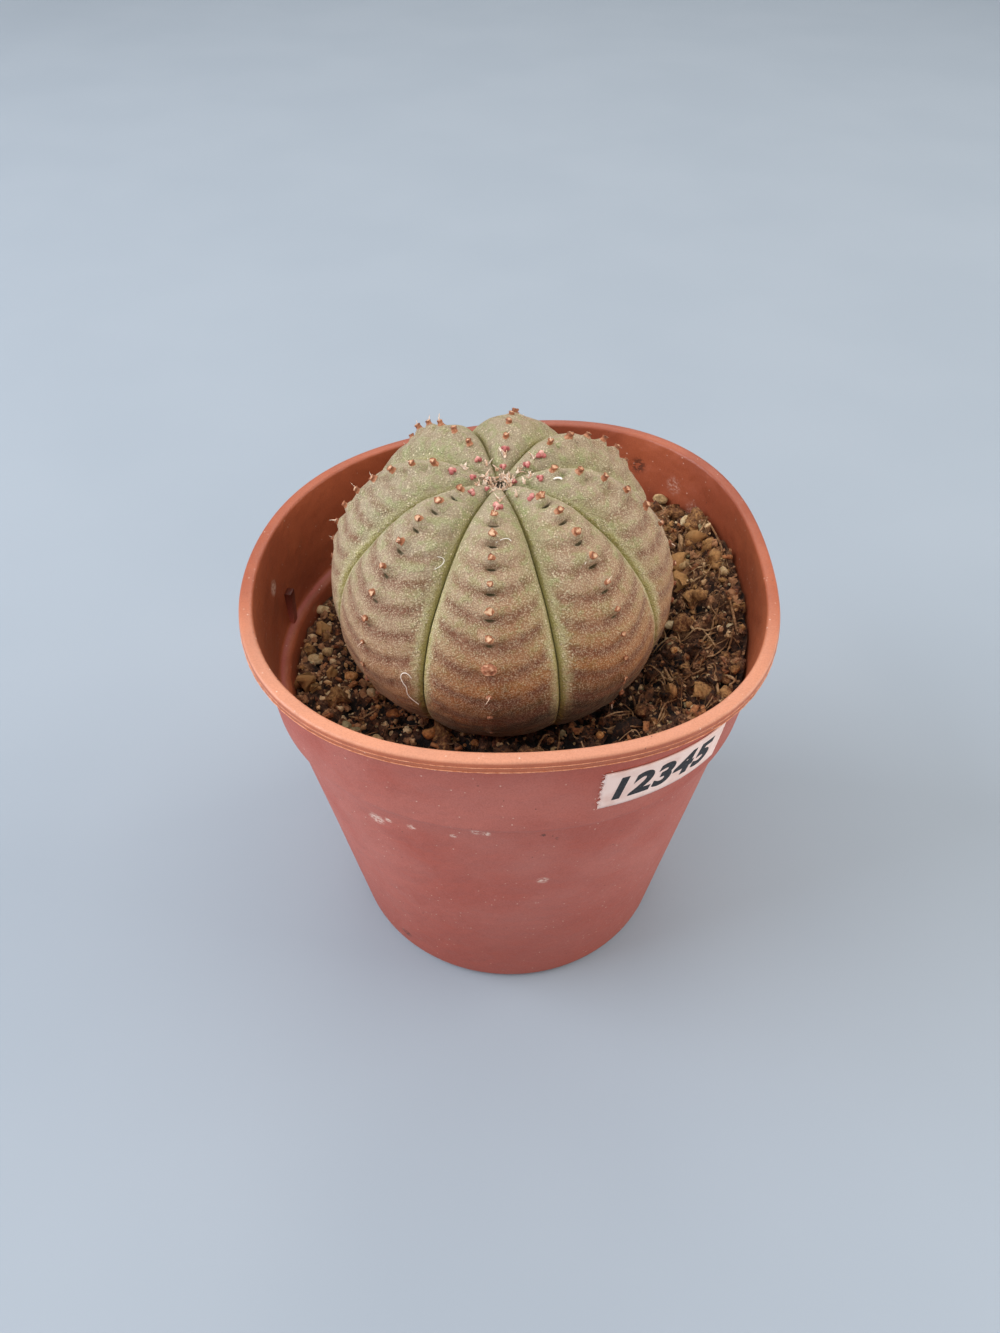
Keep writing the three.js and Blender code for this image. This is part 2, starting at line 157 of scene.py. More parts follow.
class Graph:
    """The node graph of one material, built by expressions."""

    def __init__(self, name: str) -> None:
        """Make an empty material of that name."""
        self.material = bpy.data.materials.new(name)
        self.material.use_nodes = True
        self.tree = self.material.node_tree
        self.tree.nodes.clear()

    def node(
        self,
        kind: str,
        settings: dict[str, object] | None = None,
        inputs: dict[str | int, object] | None = None,
        output: str | int = 0,
    ) -> Signal:
        """Add a node.

        Args:
            kind: The node's type, such as ShaderNodeTexNoise.
            settings: Its own properties, set before its sockets, with a colour ramp's stops under stops.
            inputs: Values or signals for its sockets, by name or by place.
            output: The output socket to return, by name or by place.

        Returns:
            The chosen output.
        """
        made = self.tree.nodes.new(kind)
        for key, value in (settings or {}).items():
            if key == "stops":
                self._set_stops(made.color_ramp, value)
            else:
                setattr(made, key, value)
        for key, value in (inputs or {}).items():
            socket = self._pick(made.inputs, key)
            if isinstance(value, Signal):
                self.tree.links.new(value.socket, socket)
            else:
                socket.default_value = value
        if not made.outputs:
            return Signal(self, None)
        return Signal(self, self._pick(made.outputs, output))

    @staticmethod
    def _pick(sockets: Sequence[bpy.types.NodeSocket], key: str | int) -> bpy.types.NodeSocket:
        """Find a socket that is in use, by name or by place."""
        live = [socket for socket in sockets if socket.enabled]
        return live[key] if isinstance(key, int) else next(one for one in live if one.name == key)

    @staticmethod
    def _set_stops(ramp: bpy.types.ColorRamp, stops: Sequence[tuple[float, tuple]]) -> None:
        """Give a colour ramp its stops."""
        while len(ramp.elements) < len(stops):
            ramp.elements.new(0.5)
        for element, (place, colour) in zip(ramp.elements, stops):
            element.position, element.color = place, colour

    def millimetres(self) -> Signal:
        """Return the object's own coordinates in millimetres."""
        place = self.node("ShaderNodeTexCoord", output="Object")
        scale = {"Vector": place, "Scale": (1 / MM, 1 / MM, 1 / MM)}
        return self.node("ShaderNodeMapping", inputs=scale)

    def height(self, place: Signal, axis: str = "Z") -> Signal:
        """Return the Z of a place, or another axis."""
        return self.node("ShaderNodeSeparateXYZ", inputs={"Vector": place}, output=axis)

    def stretched(self, place: Signal, scale: tuple[float, float, float]) -> Signal:
        """Return coordinates scaled along each axis."""
        return self.node("ShaderNodeMapping", inputs={"Vector": place, "Scale": scale})

    def attribute(self, name: str) -> Signal:
        """Return a number that the mesh carries."""
        settings = {"attribute_type": "GEOMETRY", "attribute_name": name}
        return self.node("ShaderNodeAttribute", settings, output="Fac")

    def noise(self, place: Signal, scale: float, detail: float = 3.0, rough: float = 0.5) -> Signal:
        """Return cloudy noise of about 0.5, with finer layers of some strength."""
        inputs = {"Vector": place, "Scale": scale, "Detail": detail, "Roughness": rough}
        return self.node("ShaderNodeTexNoise", inputs=inputs)

    def cells(self, place: Signal, scale: float, feature: str = "F1") -> Signal:
        """Return the distance to the nearest of many scattered points."""
        inputs = {"Vector": place, "Scale": scale}
        return self.node("ShaderNodeTexVoronoi", {"feature": feature}, inputs, "Distance")

    def ramp(self, value: Signal, stops: Sequence[tuple[float, str]]) -> Signal:
        """Return a colour from a scale of paint codes."""
        made = [(place, linear(code)) for place, code in stops]
        return self.node("ShaderNodeValToRGB", {"stops": made}, {"Fac": value}, "Color")

    def blend(
        self, share: Signal | float, first: Signal | str, second: Signal | str, way: str = "MIX"
    ) -> Signal:
        """Mix two colours or paint codes.

        Args:
            share: The second one's share.
            first: One colour.
            second: The other one.
            way: The way they mix.

        Returns:
            The mixed colour.
        """
        made = [linear(colour) if isinstance(colour, str) else colour for colour in (first, second)]
        inputs = {"Factor": share, "A": made[0], "B": made[1]}
        return self.node("ShaderNodeMix", {"data_type": "RGBA", "blend_type": way}, inputs, "Result")

    def shade(self, share: Signal | float, first: Signal, second: str) -> Signal:
        """Return the first colour multiplied by the second, by a share."""
        return self.blend(share, first, second, "MULTIPLY")

    def spot(self, place: Signal, centre: Vector, radius: float) -> Signal:
        """Make a soft mask about a point.

        Args:
            place: Coordinates in millimetres.
            centre: The point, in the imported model's millimetres.
            radius: Where the mask ends.

        Returns:
            The mask, 1 about the point.
        """
        inputs = {0: place, 1: tuple(centre)}
        far = self.node("ShaderNodeVectorMath", {"operation": "DISTANCE"}, inputs, "Value")
        return far.between(radius, radius * 0.35)

    def relief(self, height: Signal, depth: float, under: Signal | None = None) -> Signal:
        """Bend the normal by a height.

        Args:
            height: The relief.
            depth: How deep in millimetres its 1 stands.
            under: The normal that it lies over.

        Returns:
            The bent normal.
        """
        inputs: dict[str | int, object] = {"Height": height, "Distance": depth * MM, "Strength": 1.0}
        if under is not None:
            inputs["Normal"] = under
        return self.node("ShaderNodeBump", inputs=inputs)

    def finish(
        self, colour: Signal, rough: Signal | float, normal: Signal | None, **more: object
    ) -> Material:
        """Close the graph with a Principled shader.

        Args:
            colour: Its colour.
            rough: Its roughness.
            normal: Its bent normal, if any.
            more: More of its sockets, by name.

        Returns:
            The material.
        """
        sockets = {"Base Color": colour, "Roughness": rough, **more}
        if normal:
            sockets["Normal"] = normal
        shader = self.node("ShaderNodeBsdfPrincipled", inputs=sockets)
        self.node("ShaderNodeOutputMaterial", inputs={"Surface": shader})
        return self.material


# Workbench


def put(name: str, data: bpy.types.ID) -> bpy.types.Object:
    """Make an object of some data and link it to the scene."""
    thing = bpy.data.objects.new(name, data)
    bpy.context.scene.collection.objects.link(thing)
    return thing


def settled(thing: bpy.types.Object) -> bpy.types.Mesh:
    """Return a mesh of an object as it looks with its modifiers or its curve's thickness."""
    depsgraph = bpy.context.evaluated_depsgraph_get()
    return bpy.data.meshes.new_from_object(thing.evaluated_get(depsgraph))


def to_data(mesh: BMesh, name: str) -> bpy.types.Mesh:
    """Turn a mesh into data.

    Args:
        mesh: The mesh. It is used up.
        name: The data's name.

    Returns:
        The data.
    """
    data = bpy.data.meshes.new(name)
    mesh.to_mesh(data)
    mesh.free()
    return data


def mesh_of(curve: bpy.types.Curve) -> BMesh:
    """Turn a curve or text into a mesh.

    Args:
        curve: The curve. It is used up.

    Returns:
        The mesh.
    """
    thing = put(curve.name, curve)
    data = settled(thing)
    mesh = bmesh.new()
    mesh.from_mesh(data)
    bpy.data.meshes.remove(data)
    bpy.data.objects.remove(thing)
    bpy.data.curves.remove(curve)
    return mesh


@dataclass
class Workbench:
    """Turns meshes in the pot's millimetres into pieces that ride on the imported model.

    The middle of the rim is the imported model's origin.
    """

    rim_middle: Vector = Vector((-0.6108, 0.4463, 0.0)).freeze()
    pieces: list[bpy.types.Object] = field(default_factory=list)

    def place(self) -> Matrix:
        """Return the move from the pot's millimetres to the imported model's metres."""
        return Matrix.Scale(MM, 4) @ Matrix.Translation(-self.rim_middle)

    def seen(self, point: Vector) -> Vector:
        """Return a point of the pot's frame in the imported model's millimetres."""
        return point - self.rim_middle

    def deliver(
        self,
        mesh: BMesh,
        name: str,
        finish: Material,
        slot: str,
        stands_for: str | None = None,
        smooth: bool = True,
    ) -> bpy.types.Object:
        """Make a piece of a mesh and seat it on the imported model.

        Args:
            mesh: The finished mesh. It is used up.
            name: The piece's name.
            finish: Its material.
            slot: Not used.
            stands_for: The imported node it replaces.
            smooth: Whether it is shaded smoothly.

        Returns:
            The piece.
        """
        mesh.transform(self.place())
        for face in mesh.faces:
            face.smooth = smooth
        piece = put(name, to_data(mesh, name))
        piece.data.materials.append(finish)
        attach(piece, "root")
        if stands_for:
            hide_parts(stands_for)
        self.pieces.append(piece)
        log.info("%s: %d faces", piece.name, len(piece.data.polygons))
        return piece


def bend_mesh(mesh: BMesh, rule: Callable[[Vector], Vector]) -> None:
    """Move every vertex of a mesh by a rule."""
    for vertex in mesh.verts:
        vertex.co = rule(vertex.co)


def face_out(mesh: BMesh) -> None:
    """Turn every face of a mesh outwards."""
    bmesh.ops.recalc_face_normals(mesh, faces=mesh.faces)


def close_mesh(mesh: BMesh, gap: float = 1e-4) -> None:
    """Join the doubled vertices of a closed shell and turn its faces outwards."""
    bmesh.ops.remove_doubles(mesh, verts=mesh.verts, dist=gap)
    bmesh.ops.dissolve_degenerate(mesh, edges=mesh.edges, dist=gap)
    face_out(mesh)


def join_into(target: BMesh, part: BMesh) -> None:
    """Add a mesh to another one, and use it up."""
    data = to_data(part, "joined")
    target.from_mesh(data)
    bpy.data.meshes.remove(data)


def tinted() -> tuple[BMesh, bmesh.types.BMLayerItem]:
    """Return an empty mesh and the layer of its tint."""
    mesh = bmesh.new()
    return mesh, mesh.verts.layers.float.new("tint")


def next_ring(mesh: BMesh, ring: Sequence[BMVert]) -> list[BMVert]:
    """Extrude a ring of vertices and return the new ring."""
    edges = dict.fromkeys(edge for vert in ring for edge in vert.link_edges if edge.other_vert(vert) in ring)
    made = bmesh.ops.extrude_edge_only(mesh, edges=list(edges))
    return [item for item in made["geom"] if isinstance(item, BMVert)]


class Heap:
    """Gathers many small tinted shapes in batches, because an operator slows as its mesh grows."""

    def __init__(self, most: int = 700) -> None:
        """Start an empty heap whose batches hold about so many vertices."""
        self.most = most
        self.whole = bmesh.new()
        self.part = tinted()[0]

    def batch(self) -> BMesh:
        """Return the mesh that the next shape goes into."""
        if len(self.part.verts) > self.most:
            join_into(self.whole, self.part)
            self.part = tinted()[0]
        return self.part

    def mesh(self) -> BMesh:
        """Return everything that was gathered."""
        join_into(self.whole, self.part)
        return self.whole


def stand_on(point: Vector, direction: Vector, spin: float = 0.0) -> Matrix:
    """Return the matrix that stands a shape on a point along a direction, spun about it in radians."""
    turn = UP.rotation_difference(direction).to_matrix().to_4x4()
    return Matrix.Translation(point) @ turn @ Matrix.Rotation(spin, 4, "Z")


@dataclass(frozen=True)
class Corner:
    """A corner of a turned profile, rounded from a fillet's length before it to as far after it."""

    radius: float
    height: float
    fillet: float = 0.0


def rounded_profile(corners: Sequence[Corner], steps: int = 4) -> list[Vector]:
    """Round off the corners of a profile.

    Args:
        corners: The profile's corners in order.
        steps: How many pieces each rounding has.

    Returns:
        The profile's points in the XZ plane.
    """
    points: list[Vector] = []
    spots = [Vector((corner.radius, 0.0, corner.height)) for corner in corners]
    for index, corner in enumerate(corners):
        here = spots[index]
        if corner.fillet <= 0.0 or index in (0, len(corners) - 1):
            points.append(here)
            continue
        before = (spots[index - 1] - here).normalized() * corner.fillet
        after = (spots[index + 1] - here).normalized() * corner.fillet
        for step in range(steps + 1):
            share = step / steps
            bow = (1 - share) ** 2 * before + share**2 * after
            points.append(here + bow)
    return points


def spin_profile(points: Sequence[Vector], steps: int, closed: bool = False) -> BMesh:
    """Turn a profile about the Z axis.

    Args:
        points: The profile in the XZ plane.
        steps: How many faces go round.
        closed: Whether the profile's last point joins its first.

    Returns:
        A closed shell.
    """
    mesh = bmesh.new()
    verts = [mesh.verts.new(point) for point in points]
    pairs = list(zip(verts, verts[1:]))
    if closed:
        pairs.append((verts[-1], verts[0]))
    edges = [mesh.edges.new(pair) for pair in pairs]
    spin = {"cent": (0.0, 0.0, 0.0), "axis": UP, "angle": TURN, "steps": steps}
    bmesh.ops.spin(mesh, geom=verts + edges, use_merge=True, use_duplicate=False, **spin)
    close_mesh(mesh)
    return mesh


def square_grid(columns: int, rows: int) -> BMesh:
    """Make a flat grid from 0 to 1.

    Args:
        columns: How many faces lie along X.
        rows: How many lie along Y.

    Returns:
        The grid.
    """
    mesh = bmesh.new()
    bmesh.ops.create_grid(mesh, x_segments=columns, y_segments=rows, size=0.5)
    bmesh.ops.translate(mesh, verts=mesh.verts, vec=(0.5, 0.5, 0.0))
    return mesh


# Finishes


@dataclass(frozen=True)
class TerracottaPlastic:
    """Soft moulded plastic: orange on the rim and inside, pink outside from dust and a painted reflection."""

    warm: str = "c6704b"
    warm_deep: str = "b06042"
    dust_and_reflection_pink: str = "b05848"
    dust_and_reflection_paler: str = "b8695b"
    foot: str = "9e4a39"
    rim_highlight: str = "eeb896"
    dust: str = "f0d8c6"
    dirt: str = "4a2a1e"
    faint_from: float = 1.5

    def material(self, scuffs: Marks, stains: Marks, rim: float) -> Material:
        """Build the material.

        Args:
            scuffs: Centre and radius of each pale rubbed place. Wide ones are faint.
            stains: Centre and radius of each dark place.
            rim: Height of the rim, whose top is lighter in front, a painted highlight.

        Returns:
            The material.
        """
        graph = Graph("terracotta_plastic")
        place = graph.millimetres()
        outside = graph.attribute("outer_dust_and_sheen")
        cloud = graph.noise(place, 0.09, 3.0)
        fine = graph.noise(place, 5.5, 4.0, 0.6)
        warm = graph.blend(cloud.between(0.35, 0.7), self.warm_deep, self.warm)
        # The outside's pink is partly dust and partly a painted bluish reflection.
        dust_and_reflection_tone = graph.blend(cloud.between(0.3, 0.7), self.dust_and_reflection_pink, self.dust_and_reflection_paler)
        # Painted shade: the outside darkens towards the floor.
        low = graph.height(place).between(30.0, 2.0)
        dust_and_reflection_tone = graph.blend(low * 0.8, dust_and_reflection_tone, self.foot)
        front = graph.height(place, "Y").between(26.0, -26.0)
        # Painted shade: the rim and the inside darken towards the back.
        warm = graph.shade((1.0 - front) * 0.55, warm, "b08a80")
        # Painted highlight: the rim's top is lighter in front.
        top = graph.height(place).between(rim - 0.36, rim - 0.08) * front.between(0.62, 1.0)
        warm = graph.blend(top * 0.36, warm, self.rim_highlight)
        colour = graph.blend(outside, warm, dust_and_reflection_tone)
        colour = graph.shade(fine.between(0.35, 0.75) * 0.35, colour, "c9bdb6")
        freckles = graph.cells(place, 1.1).between(0.13, 0.06)
        colour = graph.blend(freckles * graph.noise(place, 0.35).between(0.42, 0.6) * 0.6, colour, self.dust)
        specks = graph.cells(graph.stretched(place, (1.0, 1.07, 0.93)), 0.42).between(0.05, 0.025)
        colour = graph.blend(specks * 0.75, colour, self.dirt)
        smear = graph.noise(graph.stretched(place, (1.0, 1.0, 1.6)), 2.4, 3.0, 0.6)
        for centre, radius in scuffs:
            edge, share = (0.54, 0.66) if radius < self.faint_from else (0.7, 0.36)
            mask = graph.spot(place, centre, radius) * smear.between(0.42, edge)
            colour = graph.blend(mask * share, colour, self.dust)
        for centre, radius in stains:
            mask = graph.spot(place, centre, radius) * smear.between(0.4, 0.55)
            colour = graph.blend(mask * 0.85, colour, self.dirt)
        rough = 0.4 + outside * 0.2 + (fine - 0.5) * 0.25
        pits = graph.cells(place, 2.1).between(0.02, 0.16)
        normal = graph.relief(fine, 0.035)
        normal = graph.relief(pits, 0.02, normal)
        normal = graph.relief(graph.noise(place, 0.3, 2.0), 0.35, normal)
        return graph.finish(colour, rough, normal, **{"Specular IOR Level": 0.45})


class ThinCoat(Enum):
    """Thin finishes with worn patches: name, patch scale, first and second tone with their places in the
    noise, roughness, and the scale and depth of the relief."""

    MOULD_FLASH = ("mould_flash", 1.6, (0.38, "c0704a"), (0.62, "e3a07a"), 0.42, 6.0, 0.03)
    PRINTED_INK = ("printed_ink", 4.0, (0.5, "151519"), (0.72, "4a484c"), 0.6, 9.0, 0.01)

    def material(self) -> Material:
        """Build this coat's material."""
        name, patch, first, second, rough, scale, depth = self.value
        graph = Graph(name)
        place = graph.millimetres()
        colour = graph.ramp(graph.noise(place, patch, 4.0, 0.7), [first, second])
        return graph.finish(colour, rough, graph.relief(graph.noise(place, scale), depth))


@dataclass(frozen=True)
class StickerPaper:
    """Matt self-adhesive paper, a little soiled along its edges."""

    sheet: str = "f3d8ce"
    warm: str = "e6c2b6"
    fibre: str = "f4e6e0"

    def material(self) -> Material:
        """Build the material."""
        graph = Graph("sticker_paper")
        place = graph.millimetres()
        felt = graph.noise(place, 9.0, 5.0, 0.65)
        tone = graph.noise(place, 0.5, 3.0)
        colour = graph.blend(tone.between(0.35, 0.75), self.sheet, self.warm)
        colour = graph.blend(felt.between(0.55, 0.75) * 0.5, colour, self.fibre)
        normal = graph.relief(felt, 0.02)
        return graph.finish(colour, 0.85, normal)


@dataclass(frozen=True)
class PeatSoil:
    """Dark moist peat with fine crumbs and lighter dry fibres."""

    wet_and_shaded: str = "0f0805"
    brown: str = "603d28"
    dry: str = "b58a62"

    def material(self) -> Material:
        """Build the material, with a tone that follows the tint its mesh carries, painted shade included."""
        graph = Graph("peat_soil")
        place = graph.millimetres()
        crumbs = graph.noise(place, 1.4, 6.0, 0.75)
        fine = graph.cells(place, 3.6)
        value = graph.attribute("tint") * 0.6 + (crumbs - 0.5) * 1.6 + 0.17
        colour = graph.ramp(value, [(0.2, self.wet_and_shaded), (0.5, self.brown), (0.9, self.dry)])
        colour = graph.shade(fine.between(0.5, 0.1) * 0.4, colour, "7a6a5e")
        normal = graph.relief(crumbs, 0.4)
        normal = graph.relief(fine, 0.12, normal)
        return graph.finish(colour, 0.9, normal)


class Grit(Enum):
    """The kinds of small thing that lie in the mix: name, dark tone, middle tone, light tone, roughness."""

    PEAT = ("peat_crumb", "26150d", "6c452e", "bc8a62", 0.92)
    CLOD = ("coir_clod", "201108", "704527", "c4935c", 0.92)
    AMBER = ("amber_grain", "8a4c24", "d08c4c", "f8cc92", 0.45)
    TAN = ("tan_grain", "8a6440", "cda272", "f6d6a6", 0.7)
    CREAM = ("cream_grain", "94764a", "d6b480", "f6e0b4", 0.65)
    GREY = ("grey_grain", "685c40", "9c8f68", "c9bb90", 0.8)
    BARK = ("bark_chip", "42200f", "9a5a32", "cf8c58", 0.7)
    STRAW = ("dry_straw", "5e3a20", "a4754a", "dab688", 0.6)
    ROOTLET = ("brown_rootlet", "2c1a10", "5e3e26", "95704a", 0.75)

    def material(self) -> Material:
        """Build this kind's material, with a tone that differs from grain to grain."""
        name, dark, middle, light, rough = self.value
        graph = Graph(name)
        place = graph.millimetres()
        tint = graph.attribute("tint")
        grain = graph.noise(place, 2.2, 5.0, 0.75)
        value = tint * 0.5 + (grain - 0.5) * 1.5 + 0.27
        colour = graph.ramp(value, [(0.2, dark), (0.5, middle), (0.82, light)])
        normal = graph.relief(grain, 0.3)
        wear = rough + (grain - 0.5) * 0.3
        return graph.finish(colour, wear, normal)


@dataclass(frozen=True)
class PlantSkin:
    """Grey-green skin with purple-brown bands, green grooves, white meal and a brown, corky foot."""

    crown: str = "a29278"
    flank: str = "a98a6c"
    low: str = "a06431"
    cork: str = "361c0b"
    green: str = "8f9a60"
    lip: str = "b5ad80"
    groove: str = "a09855"
    crease: str = "4c4a1f"
    band: str = "74402b"
    # Painted shade for the pits under the tubercles.
    pit: str = "3c3816"
    meal: str = "f2e3bf"
    olive: str = "9d8c3a"
    # Painted shade for the crown's hollow.
    hollow: str = "1d140d"

    def material(self, flecks: Marks, rise: float, curve: float) -> Material:
        """Build the material.

        Args:
            flecks: Centre and radius of each small bright green spot.
            rise: How far the bands climb from the crest to the groove, in tubercle spacings.
            curve: The power of the bands' climb.

        Returns:
            The material.
        """
        graph = Graph("plant_skin")
        place = graph.millimetres()
        aside = graph.attribute("aside")
        down = graph.attribute("down")
        bump = graph.attribute("bump")
        cloud = graph.noise(place, 0.22, 3.0)
        mottle = graph.noise(place, 0.9, 4.0, 0.65)
        grain = graph.noise(place, 2.4, 4.0, 0.7)
        granule = graph.cells(place, 6.2).between(0.66, 0.14)
        edge = aside + (mottle - 0.5) * 0.2
        along = down + (cloud - 0.5) * 9.0 + (mottle - 0.5) * 9.0 - 1.5
        across, back = graph.height(place, "X"), graph.height(place, "Y")
        # Browner towards the front; paler towards the left and right edges, painted light from the side
        # lamps.
        along = along + back.between(2.0, -16.0) * 3.0 - across.between(2.0, -17.0) * 10.0
        along = along - across.between(7.0, 20.0) * 4.0
        stops = [(0.1, self.crown), (0.36, self.flank), (0.6, self.low), (0.745, self.cork)]
        colour = graph.ramp(along / 44.0, stops)
        greens = mottle.between(0.46, 0.62) * down.between(32.0, 12.0)
        flanks = aside.between(0.4, 0.85) * cloud.between(0.3, 0.55) * down.between(30.0, 14.0)
        colour = graph.blend(greens * 0.5 + flanks * 0.36, colour, self.green)
        wave = graph.attribute("tally") + aside**curve * rise + (mottle - 0.5) * 0.35
        band = (wave.fraction() - 0.42).size().between(0.42, 0.02)
        band = band * aside.between(0.96, 0.75) * down.between(4.0, 20.0) * down.between(37.0, 29.0)
        band = band * (1.0 - back.between(-5.0, 7.0) * 0.45)
        lip = edge.between(0.8, 0.92) * down.between(35.0, 27.0)
        layers = [
            (band * (0.4 + mottle.between(0.3, 0.6) * 0.5), self.band),
            (lip * (0.35 + mottle * 0.7), self.lip),
            (edge.between(0.91, 0.97) * (0.45 + cloud * 0.8), self.groove),
            (aside.between(0.982, 0.997), self.crease),
            (bump.between(0.6, 0.95) * down.between(14.0, 9.0) * 0.65, self.olive),
            # Painted highlight: the lower tubercles' tops are lighter.
            (bump.between(0.3, 0.8) * down.between(33.0, 24.0) * 0.55, self.crown),
            # Painted shade in the pit under each tubercle.
            (bump.between(-0.08, -0.36) * 0.88, self.pit),
            # Painted shade in the crown's hollow.
            (down.between(0.95, 0.4), self.hollow),
        ]
        layers += [(graph.spot(place, centre, radius) * 0.8, self.green) for centre, radius in flecks]
        for share, paint in layers:
            colour = graph.blend(share, colour, paint)
        # Painted shade: the skin darkens towards the back.
        colour = graph.shade(back.between(-3.0, 13.0) * 0.4, colour, "d2c6b8")
        flakes = graph.cells(place, 2.9).between(0.38, 0.2) * graph.noise(place, 0.8, 3.0).between(0.45, 0.56)
        worn = 0.7 + 0.3 * down.between(7.0, 17.0)
        near = 0.1 + 0.5 * down.between(27.0, 5.0) + 0.6 * aside.between(0.6, 0.88) * down.between(36.0, 26.0)
        near = near * aside.between(0.975, 0.94)
        pits_free = bump.between(-0.35, -0.05)
        cover = granule * aside.between(0.985, 0.95) * down.between(34.0, 26.0) * pits_free
        colour = graph.blend(cover * worn * grain.between(0.25, 0.8) * 0.62, colour, self.meal)
        colour = graph.blend(flakes * near * 0.9, colour, self.meal)
        colour = graph.shade(granule.between(0.4, 0.0) * pits_free * worn * 0.3, colour, "a59079")
        streak = graph.noise(graph.stretched(place, (0.22, 0.22, 1.5)), 1.0, 4.0, 0.6)
        colour = graph.shade(streak.between(0.46, 0.58) * down.between(27.0, 33.0) * 0.65, colour, "7a6350")
        rough = 0.72 - down.between(28.0, 38.0) * 0.2 + (grain - 0.5) * 0.3
        normal = graph.relief(granule * down.between(36.0, 28.0), 0.05)
        normal = graph.relief(flakes * near, 0.08, normal)
        normal = graph.relief(grain, 0.1, normal)
        normal = graph.relief(mottle, 0.36, normal)
        fuzz = {"Sheen Weight": 0.24, "Sheen Roughness": 0.4, "Sheen Tint": linear("f0d8b4")}
        return graph.finish(colour, rough, normal, **fuzz, **{"Specular IOR Level": 0.4})


class Tissue(Enum):
    """Finishes of the plant's small parts: name, dark tone, middle tone, light tone, roughness."""

    STUB = ("stub_bark", "4c2413", "a1623e", "deb893", 0.55)
    BUD = ("bud_flesh", "8a4340", "b66460", "e2ab9c", 0.5)
    SCALE = ("dry_scale", "a5694a", "e0b08c", "fbe6d0", 0.65)
    SCAR = ("corky_scar", "5e3220", "a5694a", "d8ab8a", 0.7)
    HAIR = ("white_hair", "d8ccb8", "efe6d6", "fffaf0", 0.6)

    def material(self) -> Material:
        """Build this tissue's material, with a tone that follows the tint its mesh carries."""
        name, dark, middle, light, rough = self.value
        graph = Graph(name)
        place = graph.millimetres()
        tint = graph.attribute("tint")
        grain = graph.noise(place, 4.0, 4.0, 0.65)
        value = tint * 0.8 + (grain - 0.5) * 0.7 + 0.1
        colour = graph.ramp(value, [(0.12, dark), (0.5, middle), (0.86, light)])
        normal = graph.relief(grain, 0.08)
        return graph.finish(colour, rough, normal, **{"Specular IOR Level": 0.4})


@dataclass(frozen=True)
class PaleCard:
    """The plain pale surface that the pot stands on."""

    shade: str = "959fa9"
    cloud: str = "9fa8b1"

    def material(self) -> Material:
        """Build the material."""
        graph = Graph("pale_card")
        cloud = graph.noise(graph.millimetres(), 0.02, 2.0)
        colour = graph.blend(cloud.between(0.3, 0.7) * 0.25, self.shade, self.cloud)
        return graph.finish(colour, 0.8, None)


# Pot


